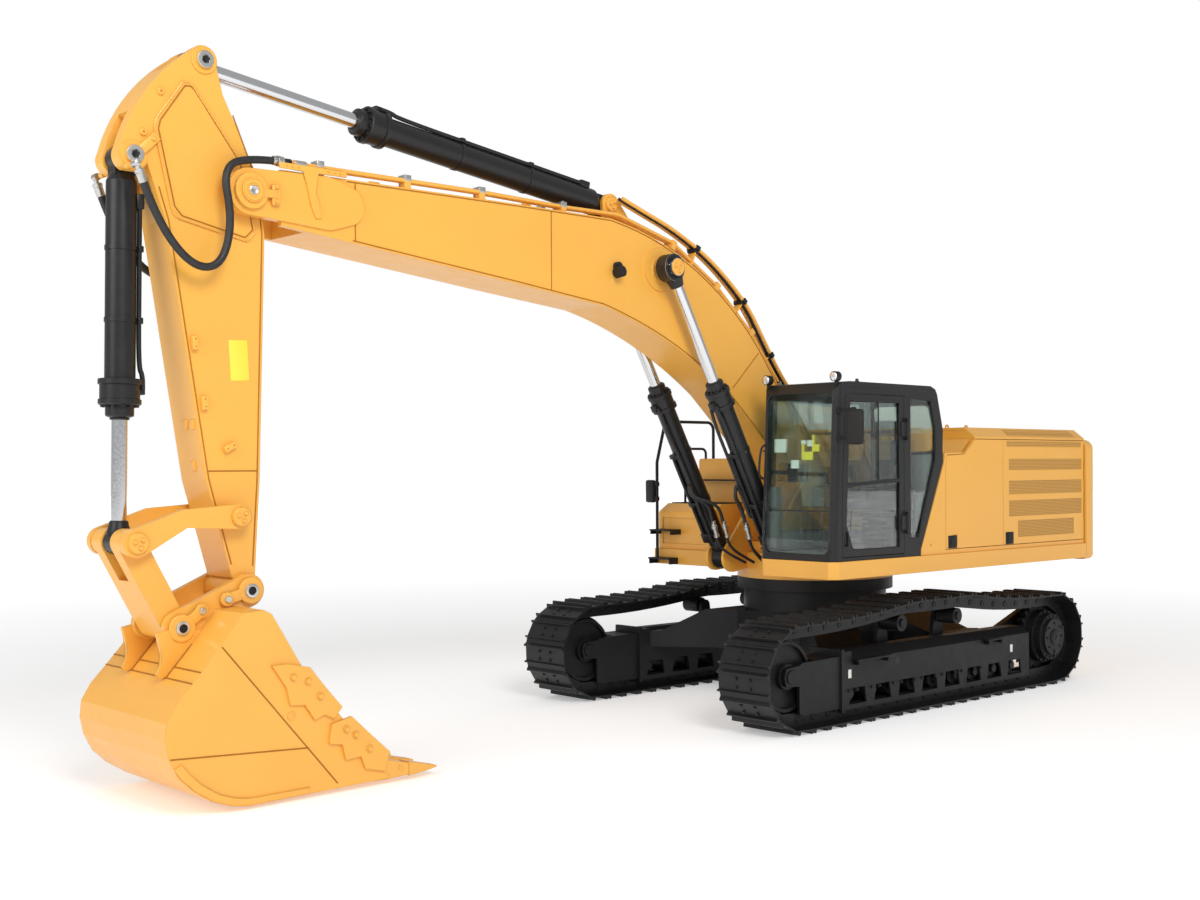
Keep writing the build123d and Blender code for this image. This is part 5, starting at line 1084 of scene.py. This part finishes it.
def add_seat():
    """The seat's suspension with its bellows, its shells, the rods of its headrest and its pads."""
    base = bmesh.new()
    for i in range(5):
        wide = 0.36 + 0.03 * (i % 2)
        brick(base, at(0.41, SEAT_Y, 1.6 + i * 0.058), (wide, wide, 0.05), 0.018)
    brick(base, at(0.4, SEAT_Y, 1.565), (0.46, 0.42, 0.03), 0.01)
    brick(base, at(0.4, SEAT_Y, 1.915), (0.5, 0.44, 0.05), 0.018)
    finish_piece("seat_base", base, "upper", "black_plastic")
    shell = bmesh.new()
    for (x0, z0), (x1, z1), width in (((0.105, 2.08), (0.035, 2.66), 0.44),
                                      ((0.045, 2.7), (0.028, 2.86), 0.22)):
        turn = Matrix.Rotation(math.atan2(x1 - x0, z1 - z0), 4, "Y")
        size = (0.03, width, math.dist((x0, z0), (x1, z1)))
        brick(shell, at((x0 + x1) / 2, SEAT_Y, (z0 + z1) / 2), size, 0.012, turn)
    for y in (-0.06, 0.06):
        lathe(shell, at(0.085, SEAT_Y + y, 2.66), (-0.05, 0, 1), ((0, 0.008), (0.12, 0.008)), 14)
    finish_piece("seat_shell", shell, "upper", "black_plastic", GREY_PLASTIC)
    cushion = seat_pad("seat_cushion",
                       ((0.12, 1.945), (0.63, 1.955), (0.635, 2.045), (0.6, 2.055), (0.12, 2.02)),
                       0.46, 0.02)
    seat_pad("seat_back", ((0.125, 2.06), (0.225, 2.06), (0.16, 2.68), (0.06, 2.68)), 0.44, 0.018)
    seat_pad("seat_headrest", ((0.055, 2.705), (0.13, 2.705), (0.115, 2.865), (0.045, 2.865)), 0.24, 0.012)
    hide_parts("seat")


def add_controls():
    """Joysticks with bellows, arm rests, travel levers, pedals and the monitor."""
    shape = bmesh.new()
    for y in (SEAT_Y - 0.335, SEAT_Y + 0.335):
        for i in range(4):
            lathe(shape, at(0.69, y, 2.166 + i * 0.018), (0, 0, 1),
                  ((0, 0.044 - i * 0.006), (0.006, 0.052 - i * 0.006), (0.012, 0.044 - i * 0.006)), 24)
        lathe(shape, at(0.69, y, 2.235), (0.05, 0, 1),
              ((0, 0.017), (0.05, 0.02), (0.09, 0.026), (0.13, 0.03), (0.16, 0.028), (0.172, 0.016)), 20)
        brick(shape, at(0.39, y, 2.205), (0.36, 0.1, 0.06), 0.022)
    for y in (SEAT_Y - 0.09, SEAT_Y + 0.09):
        lathe(shape, at(1.02, y, 1.56), (-0.12, 0, 1), ((0, 0.012), (0.66, 0.012)), 14)
        lathe(shape, at(0.938, y, 2.2), (-0.12, 0, 1),
              ((0, 0.018), (0.02, 0.022), (0.12, 0.02), (0.14, 0.014)), 18)
        brick(shape, at(1.1, y, 1.62), (0.24, 0.12, 0.018), 0.006, turned(-22))
    brick(shape, at(1.1, CAB_IN + 0.16, 2.335), (0.05, 0.24, 0.19), 0.014)
    finish_piece("cab_controls", shape, "upper", "black_plastic", GREY_PLASTIC)
    screen = bmesh.new()
    brick(screen, at(1.072, CAB_IN + 0.16, 2.335), (0.006, 0.2, 0.15), 0.002)
    finish_piece("monitor_screen", screen, "upper", "black_plastic", PANE_DARK)


def add_lining():
    """Grey moulded panels inside the cab: floor mat, walls, roof and rear shelf."""
    shape = bmesh.new()
    wide = CAB_OUT - CAB_IN - 0.11
    brick(shape, at(0.8, SEAT_Y, 1.552), (1.2, wide, 0.01), 0.004)
    for x in (0.55, 0.75, 0.95, 1.15, 1.32):
        brick(shape, at(x, SEAT_Y, 1.56), (0.1, wide - 0.1, 0.01), 0.004)
    brick(shape, at(0.82, CAB_IN + 0.054, 1.655), (1.14, 0.01, 0.17), 0.004)
    brick(shape, at(0.6, SEAT_Y, 3.138), (1.28, wide - 0.02, 0.01), 0.004)
    brick(shape, at(-0.09, SEAT_Y, 2.3), (0.15, wide, 0.42), 0.02)
    brick(shape, at(0.03, SEAT_Y, 1.92), (0.16, wide, 0.4), 0.02)
    for y in (CAB_IN + 0.06, CAB_OUT - 0.06):
        brick(shape, at(0.3, y, 2.24), (0.05, 0.014, 0.9), 0.006)
    brick(shape, at(1.36, CAB_IN + 0.1, 1.9), (0.1, 0.08, 0.6), 0.02)
    for z in (1.76, 1.92, 2.08):
        lathe(shape, at(1.33, CAB_IN + 0.12, z), (-1, 0.25, 0),
              ((0, 0.055), (0.012, 0.055), (0.016, 0.045), (0.008, 0.04)), 28)
    finish_piece("cab_lining", shape, "upper", "black_plastic", LINING)


def loop_bead(shape, outline, place, radius):
    bead(shape, [place(a, b) for a, b in outline], radius, 0.0, closed=True)


def rounded_rectangle(middle_a, middle_b, width, height, corner, steps=6):
    points = []
    for sign_a, sign_b, start in ((1, 1, 0), (-1, 1, 90), (-1, -1, 180), (1, -1, 270)):
        for i in range(steps + 1):
            a = math.radians(start + 90 * i / steps)
            points.append((middle_a + sign_a * (width / 2 - corner) + corner * math.cos(a),
                           middle_b + sign_b * (height / 2 - corner) + corner * math.sin(a)))
    return points


def nose_x(z):
    """X of the cab's front face at height z."""
    return 1.5 if z < 1.7 else 1.5 - (z - 1.7) * 0.07 / 1.41


def add_cab_trim():
    """Gaskets, door fittings, wiper, bolts, hatch frame, antenna, lamp lenses and the grab rail."""
    gasket = bmesh.new()
    front = rounded_rectangle(SEAT_Y, 2.33, CAB_OUT - CAB_IN - 0.105, 1.54, 0.09)
    loop_bead(gasket, front, lambda y, z: at(nose_x(z) - 0.004, y, z), 0.009)
    rear = rounded_rectangle(SEAT_Y, 2.78, CAB_OUT - CAB_IN - 0.185, 0.48, 0.07)
    loop_bead(gasket, rear, lambda y, z: at(-0.262 + max(0.0, z - 2.76) * 0.265, y, z), 0.008)
    for y, outline in ((CAB_OUT - 0.01,
                        ((0.285, 1.68), (0.285, 3.08), (-0.07, 3.06), (-0.15, 2.77), (-0.15, 2.47),
                         (0.15, 1.68))),
                       (CAB_IN + 0.01, ((0.3, 1.75), (0.3, 3.05), (1.27, 3.05), (1.33, 1.75))),
                       (CAB_IN + 0.01, ((0.23, 2.45), (0.23, 3.05), (-0.07, 3.05), (-0.15, 2.77),
                                        (-0.15, 2.45)))):
        loop_bead(gasket, outline, lambda x, z, y=y: at(x, y, z), 0.01)
    # bar between the windscreen's upper and lower panes
    brick(gasket, at(nose_x(1.98) - 0.012, SEAT_Y, 1.975), (0.012, CAB_OUT - CAB_IN - 0.11, 0.014), 0.003)
    finish_piece("cab_gaskets", gasket, "upper", "black_plastic", RUBBER)
    door = bmesh.new()
    upper = ((0.455, 2.27), (0.455, 3.025), (1.235, 3.025), (1.285, 2.23))
    lower = ((0.455, 1.6), (0.455, 2.25), (1.287, 2.21), (1.3, 1.84), (1.195, 1.6))
    for outline in (upper, lower):
        loop_bead(door, outline, lambda x, z: at(x, CAB_OUT - 0.008, z), 0.009)
    brick(door, at(0.78, CAB_OUT - 0.018, 2.645), (0.012, 0.012, 0.76), 0.003)
    finish_piece("door_gaskets", door, "cab_door", "black_plastic", RUBBER)
    # door handle in its recess, hinge bolts, inner pull
    fittings = bmesh.new()
    brick(fittings, at(1.312, CAB_OUT - 0.012, 1.71), (0.022, 0.02, 0.11), 0.006)
    for z in (1.84, 2.76):
        for dz in (-0.045, 0.0, 0.045):
            bolt(fittings, at(0.43, CAB_OUT + 0.01, z + dz), (0, 1, 0), 0.009)
    brick(fittings, at(0.485, CAB_OUT - 0.04, 2.62), (0.022, 0.022, 0.44), 0.008)
    finish_piece("door_fittings", fittings, "cab_door", "black_plastic")
    # the wiper's motor and its arm and blade, the windscreen frame's bolts and the roof's drip edge
    body = bmesh.new()
    lathe(body, at(1.486, CAB_IN + 0.105, 1.985), (1, 0, 0), ((0, 0.028), (0.02, 0.028), (0.028, 0.02)), 24)
    low, high = at(1.508, CAB_IN + 0.105, 1.985), at(1.463, CAB_IN + 0.075, 2.72)
    lathe(body, low, high - low, ((0, 0.008), (0.4, 0.006)), 10)
    low, high = at(1.48, CAB_IN + 0.082, 2.16), at(1.45, CAB_IN + 0.075, 2.9)
    lathe(body, low, high - low, ((0, 0.007), ((high - low).length, 0.006)), 8)
    for y in (CAB_IN + 0.03, CAB_OUT - 0.035):
        for z in (1.6, 2.05, 2.55):
            lathe(body, at(nose_x(z) - 0.002, y, z), (1, 0, 0), ((0, 0.01), (0.005, 0.01), (0.007, 0.007)),
                  14)
    brick(body, at(0.62, CAB_OUT - 0.004, 3.148), (1.22, 0.014, 0.012), 0.004)
    # the antenna's foot and the roof hatch's frame
    lathe(body, at(0.98, CAB_OUT - 0.12, 3.203), (0, 0, 1),
          ((0, 0.022), (0.012, 0.022), (0.03, 0.014), (0.04, 0.014)), 20)
    loop_bead(body, ((0.35, CAB_IN + 0.18), (0.95, CAB_IN + 0.18), (0.95, CAB_OUT - 0.18),
                     (0.35, CAB_OUT - 0.18)),
              lambda x, y: at(x, y, 3.206), 0.012)
    finish_piece("cab_fittings", body, "upper", "cab_paint")
    lens = bmesh.new()
    for y in (CAB_IN + 0.04, CAB_OUT - 0.04):
        lathe(lens, at(1.434, y, 3.245), (1, 0, 0),
              ((-0.002, 0.042), (0.004, 0.041), (0.01, 0.03), (0.012, 0.012)), 28)
    finish_piece("roof_lamp_lenses", lens, "upper", "tinted_glass", LENS)
    rail = ((1.49, 2.28), (1.545, 2.3), (1.545, 2.38), (1.53, 2.52), (1.5, 2.6), (1.455, 2.61))
    pipe("cab_grab_rail", [at(x, CAB_IN + 0.045, z) for x, z in rail], 0.011, "upper", "cab_paint")


PAPERS = (  # y from the cab's middle, z, width, height, colour
    (-0.245, 2.6, 0.15, 0.13, "cream"), (0.045, 2.63, 0.06, 0.04, "cream"), (0.12, 2.62, 0.06, 0.06, "cream"),
    (-0.055, 2.42, 0.1, 0.08, "cream"), (0.04, 2.545, 0.03, 0.15, "yellow"), (0.1, 2.5, 0.13, 0.08, "yellow"),
    (0.165, 2.62, 0.028, 0.16, "yellow"), (0.21, 2.575, 0.06, 0.07, "yellow"),
)


def add_papers():
    """Blank papers stuck inside the windscreen."""
    for colour, material in (("cream", CREAM), ("yellow", SIGN_YELLOW)):
        shape = bmesh.new()
        for y, z, width, height, tone in PAPERS:
            if tone == colour:
                brick(shape, at(nose_x(z) - 0.03, SEAT_Y + y, z), (0.002, width, height), 0.0006,
                      turned(-2.8), 1)
        finish_piece("windscreen_papers_" + colour, shape, "upper", "cab_paint", material)


def add_mirrors():
    shape = bmesh.new()
    brick(shape, at(1.415, 1.665, 2.765), (0.062, 0.175, 0.33), 0.026, turned(12, "Z"), 4)
    for z in (2.93, 2.66):
        brick(shape, at(1.405, 1.565, z), (0.03, 0.21, 0.03), 0.008)
        brick(shape, at(1.4, 1.478, z), (0.07, 0.02, 0.06), 0.006)
        lathe(shape, at(1.425, 1.655, z), (0, 0, 1), ((-0.02, 0.02), (0.02, 0.02)), 20)
    finish_piece("left_mirror", shape, "upper", "black_plastic")
    glass = bmesh.new()
    brick(glass, at(1.383, 1.658, 2.765), (0.006, 0.145, 0.29), 0.002, turned(12, "Z"))
    brick(glass, at(0.966, -1.5, 2.13), (0.006, 0.13, 0.22), 0.002, turned(-14, "Z"))
    finish_piece("mirror_glass", glass, "upper", "chrome_rod", CHROME)
    right = bmesh.new()
    brick(right, at(1.0, -1.5, 2.13), (0.06, 0.155, 0.25), 0.024, turned(-14, "Z"), 4)
    for z in (2.05, 2.21):
        lathe(right, at(1.0, -1.4, z), (0, 0, 1), ((-0.022, 0.026), (0.022, 0.026)), 24)
        lathe(right, at(1.0, -1.4, z), (0, -1, 0), ((0, 0.01), (0.07, 0.01)), 14)
    finish_piece("right_mirror", right, "upper", "black_plastic")


def add_cab():
    add_seat()
    add_lining()
    add_controls()
    add_cab_trim()
    add_papers()
    add_mirrors()


# ================================================================ house
SIDE = 1.47
TAIL_RADIUS = 3.76
LATCHES = ((-0.43, 1), (-1.495, 1), (-1.62, -1), (-2.86, -1))  # machine x, side
GRILLES = (  # low z, high z, rear x, front x
    (2.6, 2.66, -2.99, -1.445), (2.35, 2.468, -3.0, -1.49), (2.085, 2.232, -3.0, -1.49),
    (1.85, 2.018, -3.0, -1.49), (1.62, 1.8, -2.83, -1.665),
)


def add_grille_sheets():
    shape = bmesh.new()
    for low, high, rear, front in GRILLES:
        brick(shape, at((rear + front) / 2, SIDE - 0.0015, (low + high) / 2),
              (front - rear, 0.002, high - low),
              0.0005, steps=1)
    perforated = perforated_material()
    finish_piece("grille_sheets", shape, "left_rear_door", "yellow_paint", perforated)
    # the sheet on the hood's slanted shoulder
    shoulder = bmesh.new()
    low, high = Vector((0, SIDE, 2.7)), Vector((0, SIDE - 0.13, 2.8))
    lean = math.atan2(high.z - low.z, high.y - low.y)
    middle = low.lerp(high, 0.5)
    brick(shoulder, at(-2.2, middle.y + 0.0008, middle.z + 0.001), (1.38, 0.115, 0.002), 0.0005,
          Matrix.Rotation(lean, 4, "X"), 1)
    finish_piece("shoulder_grille", shoulder, "upper", "yellow_paint", perforated)


def cross_plate(shape, outline, x0, x1):
    """A plate square to X, its outline in machine Y and Z."""
    rings = [[shape.verts.new(at(x, y, z)) for y, z in outline] for x in (x0, x1)]
    cap(shape, rings)
    skin(shape, rings)


def add_hood_ends():
    """Plates that close the hood behind the cab and above the counterweight."""
    shape = bmesh.new()
    cross_plate(shape, ((0.97, 2.5), (1.466, 2.5), (1.466, 2.698), (1.338, 2.797), (0.97, 2.797)), -0.858,
                -0.852)
    rear = ((-1.466, 2.64), (-1.466, 2.698), (-1.338, 2.797), (1.338, 2.797), (1.466, 2.698), (1.466, 2.64))
    cross_plate(shape, rear, -3.058, -3.052)
    finish_piece("hood_end_plates", shape, "upper", "yellow_paint")
    # the counterweight's joint: a wavy bead in painted shade, the dark of the gap
    seam = bmesh.new()
    for side in (-1, 1):
        line = [at(-3.056 + 0.004 * math.sin(i * 1.1), side * (SIDE + 0.0005),
                   1.35 + i * 0.075) for i in range(18)]
        bead(seam, line, 0.004, 0.0)
    finish_piece("counterweight_seam", seam, "upper", "yellow_paint", CREASE_SHADE)


def add_house():
    add_grille_sheets()
    add_hood_ends()
    black = bmesh.new()
    for x, side in LATCHES:
        brick(black, at(x, side * (SIDE + 0.001), 1.617), (0.15, 0.01, 0.13), 0.004)
        brick(black, at(x, side * (SIDE + 0.006), 1.617), (0.118, 0.006, 0.098), 0.003)
        brick(black, at(x + 0.035, side * (SIDE + 0.012), 1.617), (0.026, 0.012, 0.08), 0.005)
        lathe(black, at(x - 0.03, side * (SIDE + 0.008), 1.6), (0, side, 0),
              ((0, 0.012), (0.004, 0.012), (0.005, 0.009)), 18)
    finish_piece("door_latches", black, "upper", "black_plastic")
    yellow = bmesh.new()
    # the lid's loops, the counterweight's lifting eyes and studs, and a bolt in the front panel
    for x in (-2.13, -1.75):
        lathe(yellow, at(x, 0.494, 2.83), (0, 1, 0), ((0, 0.034), (0.012, 0.034), (0.012, 0.018), (0, 0.018)),
              hollow=True)
    for y in (-0.75, 0.75):
        lathe(yellow, at(-3.36, y, 2.688), (0, 0, 1),
              ((0, 0.075), (0.012, 0.075), (0.014, 0.05), (0.006, 0.035)), 32)
    bolt(yellow, at(-0.05, SIDE, 1.6), (0, 1, 0), 0.01)
    for y in (-0.9, 0.9):
        x = -math.sqrt(TAIL_RADIUS ** 2 - y ** 2)
        way = Vector((x, y, 0)).normalized()
        lathe(yellow, at(x, y, 1.62) - way * 0.004, way,
              ((0, 0.07), (0.014, 0.07), (0.018, 0.06), (0.018, 0.02)), 6)
    finish_piece("house_fittings", yellow, "upper", "yellow_paint")
    signs = bmesh.new()
    brick(signs, at(-3.14, SIDE + 0.002, 1.52), (0.14, 0.003, 0.24), 0.001)
    finish_piece("counterweight_blank_plate", signs, "upper", "yellow_paint", SIGN_YELLOW)


# ================================================================ studio
CAMERA_PLACE = (12.1127, 10.0343, 2.4162)
CAMERA_YAW = 226.387
CAMERA_PITCH = -0.074
CAMERA_ROLL = -0.278
CAMERA_LENS = 43.46
CAMERA_SHIFT = (-0.0355, 0.0144)


def add_camera():
    yaw, pitch, roll = (math.radians(a) for a in (CAMERA_YAW, CAMERA_PITCH, CAMERA_ROLL))
    ahead = Vector((math.cos(yaw) * math.cos(pitch), math.sin(yaw) * math.cos(pitch), math.sin(pitch)))
    right = Vector((math.sin(yaw), -math.cos(yaw), 0))
    up = right.cross(ahead)
    across = math.cos(roll) * right + math.sin(roll) * up
    upward = math.cos(roll) * up - math.sin(roll) * right
    turn = Matrix((across, upward, -ahead)).transposed().to_4x4()
    data = bpy.data.cameras.new("camera")
    data.lens = CAMERA_LENS
    data.sensor_width = 36.0
    data.sensor_fit = "HORIZONTAL"
    data.shift_x, data.shift_y = CAMERA_SHIFT
    data.clip_end = 500.0
    camera = new_object("camera", data)
    camera.matrix_world = Matrix.Translation(at(*CAMERA_PLACE)) @ turn
    bpy.context.scene.camera = camera


def add_lamp(name, place, aim, size, power):
    data = bpy.data.lights.new(name, "AREA")
    data.shape = "DISK"
    data.size = size
    data.energy = power
    lamp = new_object(name, data)
    lamp.location = at(*place)
    lamp.rotation_euler = (at(*aim) - lamp.location).to_track_quat("-Z", "Y").to_euler()


SKY_LIGHT = 0.46  # strength of the white surround as a light; the backdrop itself shows white
FLOOR_GLOW = 0.34
FAR_GLOW = 0.75


def add_studio():
    """A white floor that meets a white surround, and two soft lamps."""
    shape = bmesh.new()
    bmesh.ops.create_circle(shape, cap_ends=True, segments=96, radius=120.0)
    material, tree, shader = new_material("studio_floor")
    tint(tree, shader, (0.86, 0.86, 0.86), spread(tree, object_noise(tree, 0.35, 2.0), 0.99, 1.0))
    set_inputs(shader, {"Roughness": 0.9, "Specular IOR Level": 0.1, "Emission Color": (1, 1, 1, 1)})
    # the floor glows more with distance, so that it meets the white surround without an edge
    place = tree.nodes.new("ShaderNodeTexCoord")
    reach = tree.nodes.new("ShaderNodeVectorMath")
    reach.operation = "LENGTH"
    tree.links.new(place.outputs["Object"], reach.inputs[0])
    glow = spread(tree, reach.outputs["Value"], FLOOR_GLOW, FAR_GLOW, 7.0, 26.0)
    tree.links.new(glow, shader.inputs["Emission Strength"])
    floor = mesh_object("floor", shape, material)
    floor.location = (0, 0, -0.002)
    world = bpy.data.worlds.new("studio")
    world.use_nodes = True
    nodes = world.node_tree.nodes
    sky = nodes["Background"]
    sky.inputs["Color"].default_value = (1, 1, 1, 1)
    seen = nodes.new("ShaderNodeLightPath")
    white = nodes.new("ShaderNodeMath")
    white.operation = "MULTIPLY_ADD"
    white.inputs[1].default_value = 1.0 - SKY_LIGHT
    white.inputs[2].default_value = SKY_LIGHT
    world.node_tree.links.new(seen.outputs["Is Camera Ray"], white.inputs[0])
    world.node_tree.links.new(white.outputs["Value"], sky.inputs["Strength"])
    bpy.context.scene.world = world
    add_lamp("key", (10.0, 15.0, 13.0), (3.0, 0, 2.0), 8.0, 1800)
    add_lamp("front", (17.0, 1.0, 8.0), (3.0, 0, 2.0), 8.0, 540)
    bpy.context.scene.view_settings.view_transform = "Standard"


add_camera()
add_cords()
add_undercarriage()
add_arm()
add_rams()
add_bucket()
add_cab()
add_house()
add_studio()
